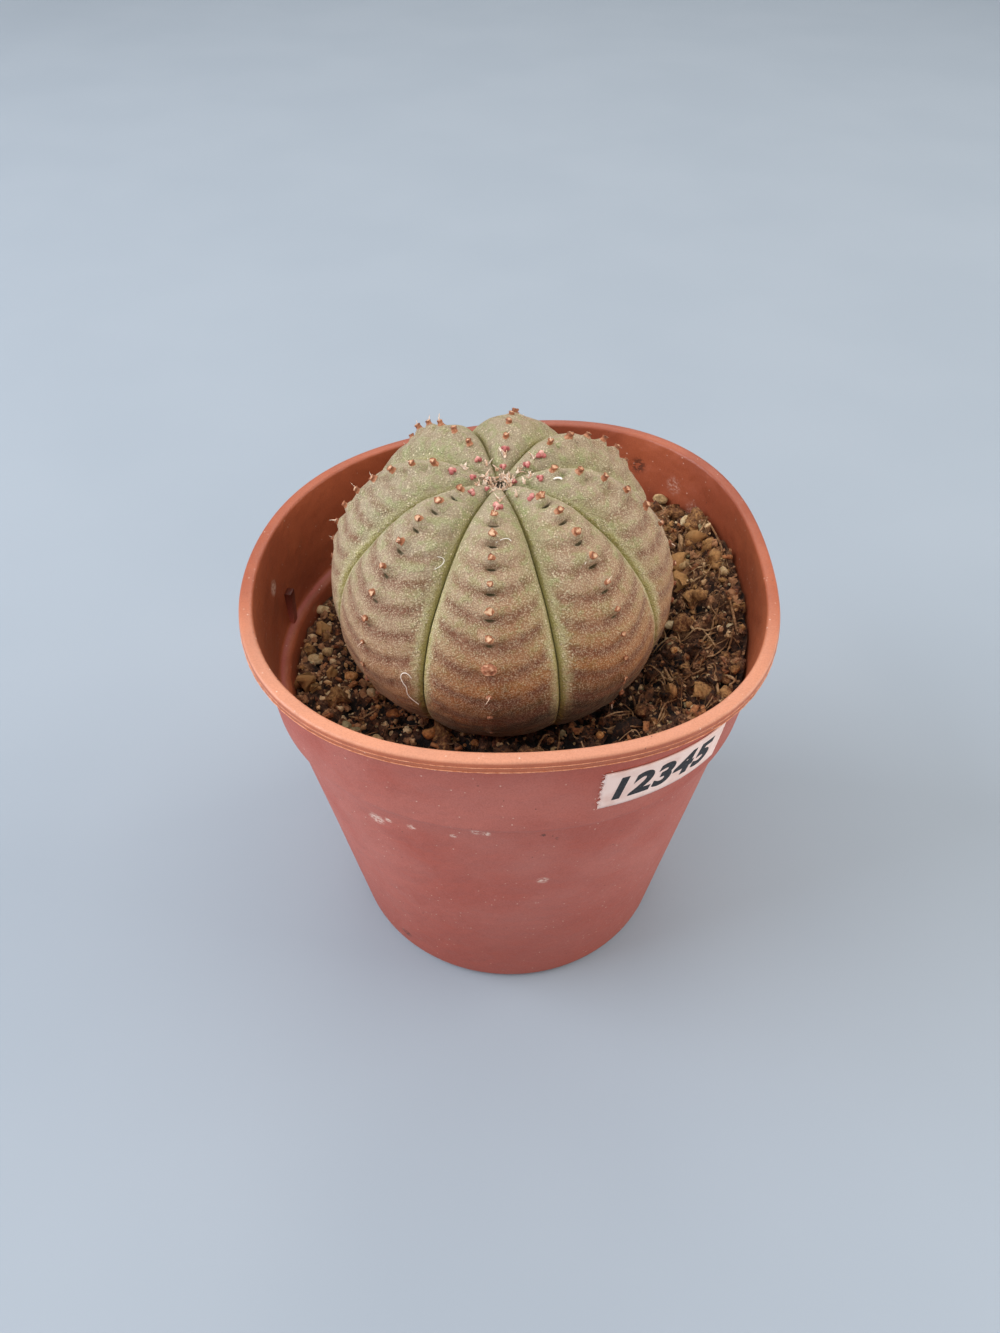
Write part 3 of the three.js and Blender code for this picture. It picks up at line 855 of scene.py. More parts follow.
@dataclass(frozen=True)
class PotShape:
    """The pot's sizes, and the outline that its soft wall has taken.

    The ledge dips inwards by ledge_fall, and step is how far the body lies inside and below the collar.
    Each warp has a number of corners, a share of the radius and an azimuth.
    """

    height: float = 54.4
    rim_radius: float = 30.0
    rim_band: float = 1.4
    lip: float = 1.45
    collar_top: float = 28.9
    collar_foot: float = 28.1
    collar_wall: float = 0.65
    ledge: float = 41.5
    ledge_fall: float = 0.5
    step: float = 0.8
    base_radius: float = 21.4
    base_edge: float = 0.7
    wall: float = 1.1
    floor_top: float = 2.3
    recess: float = 1.2
    foot_width: float = 4.2
    lugs_at: tuple[float, ...] = (52.0, 172.0, 292.0)
    warps: tuple[Mark, ...] = ((2.0, 0.036, 45.0), (3.0, 0.021, 67.4), (4.0, -0.026, 5.3))

    def bend(self, point: Vector) -> Vector:
        """Bend a round shape to the pot's outline.

        Args:
            point: A point of the round shape.

        Returns:
            Its place in the pot.
        """
        angle = atan2(point.y, point.x)
        warp = sum(size * cos(sides * (angle - radians(towards))) for sides, size, towards in self.warps)
        above = (point.z - self.ledge) / (self.height - self.ledge)
        below = point.z / self.ledge
        share = lerp(0.4, 1.0, above) if above > 0.0 else 0.4 * below
        bow = 1.0 - above if above > 0.0 else below
        factor = 1.0 + share * warp
        return Vector((point.x * factor - 0.4 * bow, point.y * factor + 0.2 * bow, point.z))

    def body_top(self) -> float:
        """Return the outside radius at the top of the body, under the step."""
        return self.collar_foot - self.step

    def collar_radius(self, height: float) -> float:
        """Return the collar's outside radius at a height."""
        top = self.height - self.rim_band
        return lerp(self.collar_foot, self.collar_top, (height - self.ledge) / (top - self.ledge))

    def outer_radius(self, height: float) -> float:
        """Return the outside radius at a height."""
        if height > self.ledge:
            return self.collar_radius(height)
        return lerp(self.base_radius, self.body_top(), height / self.ledge)

    def inner_radius(self, height: float) -> float:
        """Measure the inside.

        Args:
            height: A height above the ground.

        Returns:
            The inside radius there.
        """
        if height > self.ledge:
            share = (height - self.ledge) / (self.height - self.ledge)
            return lerp(self.collar_foot - self.collar_wall, self.rim_radius - self.lip, share)
        top = self.ledge - self.ledge_fall
        share = (height - self.floor_top) / (top - self.floor_top)
        return lerp(self.base_radius, self.body_top(), share) - self.wall

    def outside(self) -> list[Corner]:
        """Return the outer side's corners, from the underside's middle up to the rim."""
        inner = self.base_radius - self.base_edge - self.foot_width
        band = self.height - self.rim_band
        return [
            Corner(0.0, self.recess),
            Corner(inner - self.recess / 2.0, self.recess, 0.2),
            Corner(inner, 0.0, 0.2),
            Corner(self.base_radius - self.base_edge, 0.0, 0.35),
            Corner(self.base_radius, self.base_edge, 0.4),
            Corner(self.body_top(), self.ledge - self.step, 0.45),
            Corner(self.collar_foot, self.ledge, 0.4),
            Corner(self.collar_top, band, 0.3),
            Corner(self.rim_radius, band, 0.2),
            Corner(self.rim_radius, self.height, 0.4),
        ]

    def inside(self) -> list[Corner]:
        """Return the inner side's corners, from the rim down to the floor's middle."""
        return [
            Corner(self.rim_radius - self.lip, self.height, 0.35),
            Corner(self.collar_foot - self.collar_wall, self.ledge, 0.5),
            Corner(self.body_top() - self.wall, self.ledge - self.ledge_fall, 0.5),
            Corner(self.base_radius - self.wall, self.floor_top, 0.8),
            Corner(0.0, self.floor_top),
        ]


@dataclass(frozen=True)
class Lug:
    """A short stacking lug on the ledge against the collar, with its foot and its back sunk into them."""

    azimuth: float
    width: float = 1.3
    depth: float = 0.9
    height: float = 4.6
    sunk: float = 0.4
    back_sunk: float = 0.3

    def mesh(self, pot: PotShape) -> BMesh:
        """Build the lug.

        Args:
            pot: The pot that it stands in.

        Returns:
            The lug.
        """
        outer = pot.collar_foot - pot.collar_wall + self.back_sunk
        mesh = bmesh.new()
        bmesh.ops.create_cube(mesh, size=1.0)
        bmesh.ops.scale(mesh, verts=mesh.verts, vec=(self.depth, self.width, self.height + self.sunk))
        middle = (outer - self.depth / 2.0, 0.0, pot.ledge + (self.height - self.sunk) / 2.0)
        bmesh.ops.translate(mesh, verts=mesh.verts, vec=middle)
        bevel = {"affect": "EDGES", "offset_type": "OFFSET", "segments": 3, "profile": 0.5, "material": -1}
        bmesh.ops.bevel(mesh, geom=mesh.edges, offset=0.18, **bevel)
        turn = Matrix.Rotation(radians(self.azimuth), 3, "Z")
        bmesh.ops.rotate(mesh, verts=mesh.verts, cent=(0.0, 0.0, 0.0), matrix=turn)
        bend_mesh(mesh, pot.bend)
        return mesh


@dataclass
class NurseryPot:
    """The moulded pot with lugs, drain holes and mould seams, and marks by azimuth, height and radius."""

    bench: Workbench
    shape: PotShape = PotShape()
    drains: int = 4
    drain_radius: float = 2.2
    drains_at: float = 11.5
    steps: int = 176
    outer_scuffs: tuple[Mark, ...] = (
        (-97.3, 40.3, 0.75), (-95.0, 40.0, 0.6), (-102.5, 38.8, 0.5), (-112.2, 38.7, 0.65),
        (-121.4, 37.6, 1.3), (-118.0, 38.4, 0.6), (-81.3, 29.1, 0.9), (20.0, 26.0, 0.8),
        (24.0, 25.2, 0.6), (140.0, 35.0, 0.7), (143.0, 34.0, 1.0), (82.0, 18.0, 0.6),
    )
    inner_scuffs: tuple[Mark, ...] = ((38.0, 48.5, 1.7), (46.0, 50.0, 1.5), (178.0, 49.0, 1.2))
    outer_stains: tuple[Mark, ...] = (
        (-82.4, 39.6, 0.45), (-79.2, 38.6, 0.4), (-62.9, 36.7, 0.5), (-128.0, 4.0, 1.2),
    )
    inner_stains: tuple[Mark, ...] = ((57.0, 50.6, 1.4),)

    def build(self) -> None:
        """Build and dress the pot's pieces."""
        rim = self.bench.seen(Vector((0.0, 0.0, self.shape.height))).z
        scuffs = self._places(self.outer_scuffs, self.inner_scuffs)
        stains = self._places(self.outer_stains, self.inner_stains)
        plastic = TerracottaPlastic().material(scuffs, stains, rim)
        slot = "terracotta_plastic"
        self._drill(self.bench.deliver(self._shell(), "pot_shell", plastic, slot, stands_for="pot"))
        lugs = bmesh.new()
        for azimuth in self.shape.lugs_at:
            join_into(lugs, Lug(azimuth).mesh(self.shape))
        self._mark(lugs)
        # The lugs take a darker copy of the plastic: painted shade for their faces turned from the light.
        shaded = TerracottaPlastic(warm="703626", warm_deep="5a281b").material([], [], rim)
        self.bench.deliver(lugs, "stacking_lugs", shaded, slot)
        seams = self._seam(self.shape.height - self.shape.rim_band + 0.04, 0.06, 0.05)
        join_into(seams, self._seam(self.shape.height - 0.75, 0.045, 0.03))
        self.bench.deliver(seams, "mould_seams", ThinCoat.MOULD_FLASH.material(), slot)

    def _places(self, outer: Sequence[Mark], inner: Sequence[Mark]) -> Marks:
        """Return the centre and radius of marks on the outside and on the inside, for a finish."""
        spots = [(self.shape.outer_radius(mark[1]), mark) for mark in outer]
        spots += [(self.shape.inner_radius(mark[1]), mark) for mark in inner]
        bend, seen = self.shape.bend, self.bench.seen
        return [(seen(bend(at(radius, azimuth, z))), size) for radius, (azimuth, z, size) in spots]

    def _mark(self, mesh: BMesh) -> None:
        """Record the outer wall under the rim, where dust and a painted reflection tint the plastic.

        Args:
            mesh: The unbent mesh to record it on.
        """
        shape = self.shape
        layer = mesh.verts.layers.float.new("outer_dust_and_sheen")
        band = shape.height - shape.rim_band
        for vertex in mesh.verts:
            radius = hypot(vertex.co.x, vertex.co.y)
            if vertex.co.z > shape.ledge:
                middle = shape.collar_radius(vertex.co.z) - shape.collar_wall / 2.0
            else:
                middle = shape.inner_radius(vertex.co.z) + shape.wall / 2.0
            vertex[layer] = 1.0 if radius > middle and vertex.co.z < band - 0.05 else 0.0

    def _shell(self) -> BMesh:
        """Turn the pot's wall and bend it to its outline."""
        profile = rounded_profile(self.shape.outside() + self.shape.inside())
        mesh = spin_profile(profile, self.steps)
        long_edges = [e for e in mesh.edges if abs(e.verts[0].co.z - e.verts[1].co.z) > 6.0]
        bmesh.ops.subdivide_edges(mesh, edges=long_edges, cuts=7, use_grid_fill=True)
        self._mark(mesh)
        bend_mesh(mesh, self.shape.bend)
        bend_mesh(mesh, self._soften)
        return mesh

    def _soften(self, point: Vector) -> Vector:
        """Give the thin wall the slight waves that it has between its stiff rim and base."""
        stiff = smoothstep(point.z, 3.0, 20.0) * smoothstep(point.z, 54.0, 46.0)
        wave = noise.noise(point * 0.075) * 0.14 * stiff
        out = Vector((point.x, point.y, 0.0)).normalized()
        return point + out * wave

    def _seam(self, height: float, radius: float, ragged: float) -> BMesh:
        """Build a thin seam round the rim band.

        Args:
            height: Where it runs.
            radius: Half its thickness.
            ragged: How unevenly it stands out.

        Returns:
            A closed ring.
        """
        centre = Vector((self.shape.rim_radius, 0.0, height))
        turns = [TURN * number / 6 for number in range(6)]
        ring = [centre + radius * Vector((cos(turn), 0.0, sin(turn))) for turn in turns]
        mesh = spin_profile(ring, self.steps * 2, closed=True)

        def rule(point: Vector) -> Vector:
            """Return a point's place on the uneven rim."""
            out = Vector((point.x, point.y, 0.0)).normalized()
            return self.shape.bend(point + out * ragged * noise.noise(point * 1.3))

        bend_mesh(mesh, rule)
        return mesh

    def _drill(self, shell: bpy.types.Object) -> None:
        """Cut the drain holes.

        Args:
            shell: The pot's piece.
        """
        tool = bmesh.new()
        cone = {"radius1": self.drain_radius, "radius2": self.drain_radius, "depth": 6.0, "segments": 32}
        for number in range(self.drains):
            place = Matrix.Translation(at(self.drains_at, 45.0 + 360.0 * number / self.drains, 1.5))
            bmesh.ops.create_cone(tool, cap_ends=True, matrix=place, **cone)
        tool.transform(self.bench.place())
        drill = put("drill", to_data(tool, "drill"))
        cut = shell.modifiers.new("drains", "BOOLEAN")
        cut.operation = "DIFFERENCE"
        cut.solver = "EXACT"
        cut.object = drill
        old, drilled = shell.data, settled(shell)
        shell.modifiers.remove(cut)
        shell.data = drilled
        drilled.name = "pot_shell"
        for data in (old, drill.data):  # the drill itself goes with its data
            bpy.data.meshes.remove(data)


# Sticker


@dataclass
class Sticker:
    """The paper sticker on the collar, with plain counting digits."""

    bench: Workbench
    pot: PotShape = PotShape()
    start: float = -72.0
    end: float = -42.5
    bottom: float = 44.5
    top: float = 50.1
    thickness: float = 0.16
    gap: float = 0.05
    digits: str = "12345"
    digit_height: float = 3.6
    seed: int = 5

    def _on_collar(self, point: Vector) -> Vector:
        """Bend the flat sticker onto the collar.

        Args:
            point: X and Y in shares of the sticker, and Z out of it.

        Returns:
            The point's place.
        """
        height = lerp(self.bottom, self.top, point.y)
        radius = self.pot.collar_radius(height) + self.gap + point.z
        return self.pot.bend(at(radius, lerp(self.start, self.end, point.x), height))

    def build(self) -> None:
        """Build the sheet, its torn fibres and its digits."""
        sheet = self._sheet()
        join_into(sheet, self._fibres())
        paper = StickerPaper().material()
        self.bench.deliver(sheet, "sticker_sheet", paper, "label_paper", stands_for="label")
        self._print()

    def _sheet(self) -> BMesh:
        """Cut the sheet with a torn left edge and lay it on the collar."""
        chance = random.Random(self.seed)
        mesh = square_grid(40, 16)
        torn = {}
        for vertex in mesh.verts:
            row = round(vertex.co.y * 16)
            if vertex.co.x < 1e-6:
                torn.setdefault(row, 0.014 * (chance.random() - 0.4) + 0.008 * sin(3.7 * row))
                vertex.co.x += torn[row] + 0.012 * (vertex.co.y - 0.5)
            if vertex.co.x > 1.0 - 1e-6:
                vertex.co.x -= 0.008 * chance.random()
        faces = bmesh.ops.extrude_face_region(mesh, geom=mesh.faces)["geom"]
        upper = [item for item in faces if isinstance(item, BMVert)]
        bmesh.ops.translate(mesh, verts=upper, vec=(0.0, 0.0, self.thickness))
        bend_mesh(mesh, self._on_collar)
        face_out(mesh)
        return mesh

    def _fibres(self) -> BMesh:
        """Build the paper fibres that stick out of the torn edge."""
        chance = random.Random(self.seed + 1)
        mesh = bmesh.new()
        for _ in range(26):
            foot = self._on_collar(Vector((0.006, chance.uniform(0.02, 0.98), self.thickness * 0.5)))
            tip = self._on_collar(Vector((-0.02, 0.5, self.thickness * chance.uniform(0.4, 1.4))))
            tip.z = foot.z + chance.uniform(-0.3, 0.3)
            length = chance.uniform(0.2, 0.5)
            direction = (tip - foot).normalized()
            place = stand_on(foot + direction * length * 0.4, direction)
            cone = {"segments": 4, "radius1": 0.04, "radius2": 0.01, "depth": length}
            bmesh.ops.create_cone(mesh, cap_ends=True, matrix=place, **cone)
        return mesh

    def _print(self) -> None:
        """Set the digits, bend them round the collar and ink them."""
        curve = bpy.data.curves.new("digits", "FONT")
        curve.body = self.digits
        curve.shear = 0.2
        curve.offset = 0.044
        curve.space_character = 1.1
        curve.extrude = 0.02
        curve.resolution_u = 6
        mesh = mesh_of(curve)
        low = Vector([min(v.co[i] for v in mesh.verts) for i in range(3)])
        high = Vector([max(v.co[i] for v in mesh.verts) for i in range(3)])
        for cut in range(1, 24):
            across = Vector((lerp(low.x, high.x, cut / 24.0), 0.0, 0.0))
            whole = mesh.verts[:] + mesh.edges[:] + mesh.faces[:]
            bmesh.ops.bisect_plane(mesh, geom=whole, plane_co=across, plane_no=(1.0, 0.0, 0.0))
        share = self.digit_height / (self.top - self.bottom)

        def rule(point: Vector) -> Vector:
            """Return a point's place on the sticker."""
            across = lerp(0.085, 0.9, (point.x - low.x) / (high.x - low.x))
            up = 0.5 + share * ((point.y - low.y) / (high.y - low.y) - 0.5)
            out = self.thickness + 0.004 + 0.02 * (point.z - low.z) / (high.z - low.z)
            return self._on_collar(Vector((across, up, out)))

        bend_mesh(mesh, rule)
        close_mesh(mesh, 1e-5)
        ink = ThinCoat.PRINTED_INK.material()
        self.bench.deliver(mesh, "sticker_digits", ink, "label_paper", smooth=False)


# Plant


@dataclass(frozen=True)
class Rib:
    """One rib: its drift in degrees from its even place, its first tubercle and the spacing there."""

    drift: float
    first: float
    spacing: float


@dataclass(frozen=True)
class Tubercle:
    """A tubercle's place: its rib, its crest's azimuth, how far down it sits, and its number in the row."""

    rib: int
    azimuth: float
    down: float
    number: int


RIBS = (
    Rib(0.0, 0.375, 2.35), Rib(0.0, 0.32, 2.65), Rib(-2.0, 0.285, 2.6), Rib(-7.0, 0.33, 2.55),
    Rib(-4.0, 0.29, 2.5), Rib(-4.0, 0.26, 2.6), Rib(-2.0, 0.34, 2.3), Rib(0.0, 0.26, 2.7),
)


@dataclass(frozen=True)
class PlantShape:
    """The ribbed body: an ellipsoid that is deeper above its widest line than below it.

    Down is an angle from the crown in radians: the root starts at root_from, the tubercles end at last, and
    their spacing grows by spread with each radian. The ribs are given from the front one round, and the
    crown's hollows by depth and width.
    """

    centre: Vector = Vector((-1.6, 0.3, 51.3)).freeze()
    lean: tuple[float, float] = (5.0, -1.7)
    radius: float = 19.2
    upper: float = 18.1
    lower: float = 14.4
    ribs: tuple[Rib, ...] = RIBS
    first_azimuth: float = -93.0
    root_from: float = 2.72
    root_length: float = 21.0
    root_width: float = 6.0
    root_top: float = 38.4
    hollows: tuple[tuple[float, float], ...] = ((3.1, 7.1), (1.3, 1.6))
    last: float = 2.25
    spread: float = 0.3

    def place(self) -> Matrix:
        """Return the lean and move that stand the plant in the pot."""
        tip = Matrix.Rotation(radians(self.lean[1]), 4, "Y")
        nod = Matrix.Rotation(radians(self.lean[0]), 4, "X")
        return Matrix.Translation(self.centre) @ tip @ nod

    def crest(self, down: float) -> tuple[float, float, Vector]:
        """Work out the crests' line.

        Args:
            down: How far down it is.

        Returns:
            Its radius, its height from the centre, and the outward normal as (radial, 0, up).
        """
        top = down < pi / 2.0
        upright = self.upper if top else self.lower
        radius = self.radius * sin(down)
        sink = sum(depth * bell(radius, width) for depth, width in self.hollows) if top else 0.0
        normal = Vector((sin(down) / self.radius, 0.0, cos(down) / upright)).normalized()
        return radius, upright * cos(down) - sink, normal

    def groove_depth(self, down: float) -> float:
        """Return how deep the valley between two ribs is."""
        fade = smoothstep(down, 0.0, 0.15) * (1.0 - smoothstep(down, 2.3, self.root_from))
        return (0.5 + 1.6 * bell(down - 0.65, 0.5)) * fade

    def rib_azimuth(self, number: int) -> float:
        """Return the azimuth of a rib's crest, for any number of turns."""
        step = 360.0 / len(self.ribs)
        return self.first_azimuth + step * number + self.ribs[number % len(self.ribs)].drift

    def speed(self, down: float) -> float:
        """Return how much skin passes for each radian down."""
        upright = self.upper if down < pi / 2.0 else self.lower
        return hypot(self.radius * cos(down), upright * sin(down))

    def stations(self, number: int) -> list[float]:
        """Space out a rib's tubercles.

        Args:
            number: The rib's number.

        Returns:
            How far down each one sits.
        """
        rib = self.ribs[number % len(self.ribs)]
        places = []
        down = rib.first
        while down < self.last:
            places.append(down)
            down += (rib.spacing + self.spread * down) / self.speed(down)
        return places

    def skin(self, down: float, aside: float, azimuth: float, proud: float = 0.0) -> Vector:
        """Return a point of the skin in the plant's own frame.

        Args:
            down: How far down it is.
            aside: 0 on the crest, 1 in the groove.
            azimuth: Its azimuth.
            proud: How far the point stands out of the skin.

        Returns:
            The point.
        """
        radius, height, normal = self.crest(down)
        depth = self.groove_depth(down) * aside**3.4
        fade = smoothstep(down, 0.1, 0.4) * (1.0 - smoothstep(down, 2.3, self.root_from))
        depth += 0.42 * smoothstep(aside, 0.95, 1.0) * fade - proud
        return at(radius - depth * normal.x, azimuth, height - depth * normal.z)

    def outward(self, down: float, azimuth: float, lift: float = 0.0) -> Vector:
        """Return the outward direction on a crest, tipped towards the crown by a lift."""
        normal = self.crest(down)[2]
        return at(normal.x, azimuth, normal.z + lift).normalized()

    def width_at(self, height: float) -> float:
        """Return the body's radius at a height above the ground, or 0 below it."""
        rise = (height - self.centre.z) / (self.upper if height > self.centre.z else self.lower)
        return self.radius * sqrt(max(0.0, 1.0 - rise * rise))

    def underside(self, distance: float) -> float:
        """Measure the underside of the body and its root.

        Args:
            distance: A distance from the axis.

        Returns:
            The underside's height there.
        """
        if distance < self.root_width:
            tip = self.centre.z - self.lower - self.root_length
            return lerp(tip, self.root_top, distance / self.root_width)
        share = min(distance / self.radius, 1.0)
        return self.centre.z - self.lower * sqrt(1.0 - share * share)


@dataclass
class SkinMap:
    """Works out the skin's fine forms: tubercles, the creases under them and the folds beside them.

    The folds climb by rise from the crest to the groove, in tubercle spacings, with curve as a power.
    """

    shape: PlantShape
    rise: float = 0.85
    curve: float = 1.7
    front_foot: tuple[float, ...] = (1.23, 1.418, 1.582, 1.81)
    rows: list[list[float]] = field(default_factory=list)

    def __post_init__(self) -> None:
        """Work out where the tubercles are."""
        self.rows = [self.shape.stations(number) for number in range(len(self.shape.ribs))]
        upper = [down for down in self.rows[0] if down < self.front_foot[0] - 0.08]
        self.rows[0] = upper + list(self.front_foot)

    def tally(self, rib: int, down: float) -> float:
        """Count the tubercles of a rib that have been passed.

        Args:
            rib: The rib's number.
            down: How far down.

        Returns:
            Their number, which grows smoothly.
        """
        row = self.rows[rib % len(self.rows)]
        if down <= row[0]:
            return (down - row[0]) / (row[1] - row[0])
        for index in range(1, len(row)):
            if down <= row[index]:
                return index - 1 + (down - row[index - 1]) / (row[index] - row[index - 1])
        return len(row) - 1 + (down - row[-1]) / (row[-1] - row[-2])

    def faces_front(self, rib: int) -> bool:
        """Tell whether a rib is the front one or next to it."""
        return (rib + 1) % len(self.rows) < 3

    def strength(self, down: float) -> float:
        """Return how strongly the tubercles stand out, from 1 near the crown to little at the foot."""
        return lerp(1.0, 0.28, smoothstep(down, 0.82, 1.42))

    def height(self, rib: int, down: float) -> float:
        """Return how high a rib's tubercles stand, in millimetres: lower on the rib at the back."""
        return (0.3 if rib == 4 else 0.8) * self.strength(down)

    def bump(self, rib: int, down: float, sideways: float) -> float:
        """Return the tubercle's form: up to 1 on its top and down to -1 in the pit under it.

        Args:
            rib: The rib's number.
            down: How far down the place is.
            sideways: Its distance from the crest in millimetres.

        Returns:
            The form, 0 away from any tubercle.
        """
        row = self.rows[rib % len(self.rows)]
        pit = 0.68 if self.faces_front(rib) else 0.3
        total = 0.0
        for station in row:
            below = (down - station) * self.shape.speed(station)
            if abs(below) > 2.6:
                continue
            reach = 1.16 - 0.12 * smoothstep(station, 0.5, 0.75)
            nose = bell(below, 0.85) if below < 0.0 else 1.0 - smoothstep(below, reach - 0.8, reach - 0.06)
            total += nose * bell(sideways, 0.74)
            smile = below - reach + 0.36 * sideways * sideways
            total -= pit * bell(smile, 0.165) * bell(sideways, 0.56)
        return total

    def fold(self, rib: int, down: float, aside: float) -> float:
        """Return the folds beside the tubercles, from -1 in a crease to 0 on the flesh between."""
        wave = self.tally(rib, down) + self.rise * aside**self.curve
        off = abs(wave % 1.0 - 0.42)
        fade = smoothstep(down, 0.3, 0.6) * (1.0 - smoothstep(down, 1.5, 1.9))
        return -bell(off, 0.2) * fade * (1.0 - smoothstep(aside, 0.6, 0.95))

    def proud(self, rib: int, down: float, aside: float, sideways: float, spot: Vector) -> float:
        """Work out the skin's relief.

        Args:
            rib: The nearest rib.
            down: How far down the place is.
            aside: 0 on the crest, 1 in the groove.
            sideways: Its distance from the crest in millimetres.
            spot: Its point on the plain skin.

        Returns:
            How far the skin stands out, in millimetres.
        """
        rough = 0.14 * noise.noise(spot * 0.32) + 0.05 * noise.noise(spot * 1.1)
        patchy = 0.7 + 1.1 * noise.noise(spot * 0.3 + Vector((7.0, 0.0, 0.0)))
        calm = smoothstep(down, 0.12, 0.3)
        bump = self.bump(rib, down, sideways)
        crease = (0.19 if self.faces_front(rib) else 0.11) * patchy * self.fold(rib, down, aside)
        return calm * (self.height(rib, down) * bump + crease + rough)


@dataclass
class BaseballPlant:
    """The plant: ribbed body with its root, flower stubs, buds, crown scales, thorns, scars and hairs.

    Its grid has half_columns from a crest to a groove, and rows_seen down to seen_to. The tubercles colour
    the skin out to bump_reach. Flecks are green spots, by how far down, azimuth and radius.
    """

    bench: Workbench
    ground: "SoilShape"
    shape: PlantShape = PlantShape()
    half_columns: int = 20
    rows_seen: int = 204
    rows_hidden: int = 14
    rows_root: int = 8
    seen_to: float = 2.16
    bump_reach: float = 2.2
    flecks: tuple[Mark, ...] = ((0.29, 131.8, 0.7), (0.34, -6.1, 0.5), (0.4, 34.8, 0.5), (0.58, -23.9, 0.5))
    seed: int = 7

    def build(self) -> None:
        """Build and dress the plant's pieces."""
        self.skin = SkinMap(self.shape)
        self.chance = random.Random(self.seed)
        self.vary = self.chance.uniform
        self._body()
        self._stubs()
        self._buds()
        self._crown()
        self._thorns()
        self._scars()
        self._hairs()

    def _deliver(self, mesh: BMesh, name: str, tissue: Tissue) -> bpy.types.Object:
        """Stand a mesh of the plant's own frame in the pot and dress it in a tissue."""
        mesh.transform(self.shape.place())
        return self.bench.deliver(mesh, name, tissue.material(), "plant_skin")

    def _column(self, column: int) -> tuple[int, float, float]:
        """Place a column of the body's grid.

        Args:
            column: Its number.

        Returns:
            Its nearest rib, how far aside of the crest it is from 0 to 1, and its azimuth.
        """
        per_rib = 2 * self.half_columns
        rib = (column + self.half_columns) // per_rib
        across = (column - rib * per_rib) / self.half_columns
        share = abs(across)
        aside = 0.32 * share + 0.68 * share * share * (3.0 - 2.0 * share)
        side = -1 if across < 0 else 1
        return rib, aside, lerp(self.shape.rib_azimuth(rib), self.shape.rib_azimuth(rib + side), aside / 2.0)

    def _row(self, row: int) -> float:
        """Return how far down a row of the body's grid lies."""
        if row <= self.rows_seen:
            share = row / self.rows_seen
            return self.seen_to * (0.8 * share + 0.2 * share * share)
        return lerp(self.seen_to, self.shape.root_from, (row - self.rows_seen) / self.rows_hidden)

    def _body(self) -> None:
        """Build the ribbed body and its root as one skin that carries the numbers its finish needs."""
        shape, skin = self.shape, self.skin
        per_rib = 2 * self.half_columns
        columns = per_rib * len(shape.ribs)
        body_rows = self.rows_seen + self.rows_hidden
        rows = body_rows + self.rows_root
        mesh = square_grid(columns, rows)
        layers = {name: mesh.loops.layers.float.new(name) for name in ("aside", "tally", "down", "bump")}
        index = {vertex: (round(vertex.co.x * columns), round(vertex.co.y * rows)) for vertex in mesh.verts}
        arc = self._arc_lengths()
        places = [self._column(column) for column in range(columns + 1)]
        downs = [self._row(min(row, body_rows)) for row in range(rows + 1)]
        tallies = [[skin.tally(rib, down) + 20.0 for down in downs] for rib in range(len(shape.ribs))]
        bumps = {}
        for column, (rib, _, azimuth) in enumerate(places):
            for row, down in enumerate(downs):
                sideways = self._sideways(rib, azimuth, down)
                bump = skin.bump(rib, down, sideways) if sideways < self.bump_reach else 0.0
                bumps[column, row] = bump * lerp(0.2, 1.0, skin.strength(down))
        for face in mesh.faces:
            middle = sum(index[loop.vert][0] for loop in face.loops) / 4.0
            rib = int(middle / per_rib + 0.5) % len(shape.ribs)
            for loop in face.loops:
                column, row = index[loop.vert]
                loop[layers["aside"]] = places[column][1]
                loop[layers["tally"]] = tallies[rib][row]
                loop[layers["down"]] = arc[min(row, body_rows)]
                loop[layers["bump"]] = bumps[column, row]
        for vertex, (column, row) in index.items():
            rib, aside, azimuth = places[column]
            if row <= body_rows:
                sideways = self._sideways(rib, azimuth, downs[row])
                spot = shape.skin(downs[row], aside, azimuth)
                proud = skin.proud(rib, downs[row], aside, sideways, spot)
                vertex.co = shape.skin(downs[row], aside, azimuth, proud)
            else:
                vertex.co = self._root((row - body_rows) / self.rows_root, azimuth)
        close_mesh(mesh, 1e-3)
        mesh.transform(shape.place())
        flecks = [(self.bench.seen(shape.place() @ shape.skin(t, 0.0, a)), r) for t, a, r in self.flecks]
        finish = PlantSkin().material(flecks, skin.rise, skin.curve)
        self.bench.deliver(mesh, "plant_body", finish, "plant_skin", stands_for="plant")

    def _sideways(self, rib: int, azimuth: float, down: float) -> float:
        """Return the distance along the skin from a rib's crest to an azimuth."""
        turn = radians(azimuth - self.shape.rib_azimuth(rib))
        return abs(turn) * self.shape.crest(down)[0]

    def _arc_lengths(self) -> list[float]:
        """Return the length of skin from the crown down to each row."""
        lengths = [0.0]
        for row in range(1, self.rows_seen + self.rows_hidden + 1):
            before, here = self._row(row - 1), self._row(row)
            lengths.append(lengths[-1] + (here - before) * self.shape.speed((here + before) / 2.0))
        return lengths

    def _root(self, share: float, azimuth: float) -> Vector:
        """Return a point of the tapering root, a share of the way down it."""
        radius, height, _ = self.shape.crest(self.shape.root_from)
        return at(radius * (1.0 - share) ** 1.6, azimuth, height - self.shape.root_length * share)

    def _tilted(self, direction: Vector, most: float) -> Vector:
        """Return a direction turned aside at random."""
        return (direction + Vector([self.vary(-most, most) for _ in range(3)])).normalized()

    def _showing(self) -> Iterator[Tubercle]:
        """Yield the tubercles that stand clear of the soil."""
        for rib, row in enumerate(self.skin.rows):
            azimuth = self.shape.rib_azimuth(rib)
            for number, down in enumerate(row):
                spot = self.shape.place() @ self.shape.skin(down, 0.0, azimuth)
                if spot.z < self.ground.level(spot.x, spot.y) + 1.0:
                    break
                yield Tubercle(rib, azimuth, down, number)

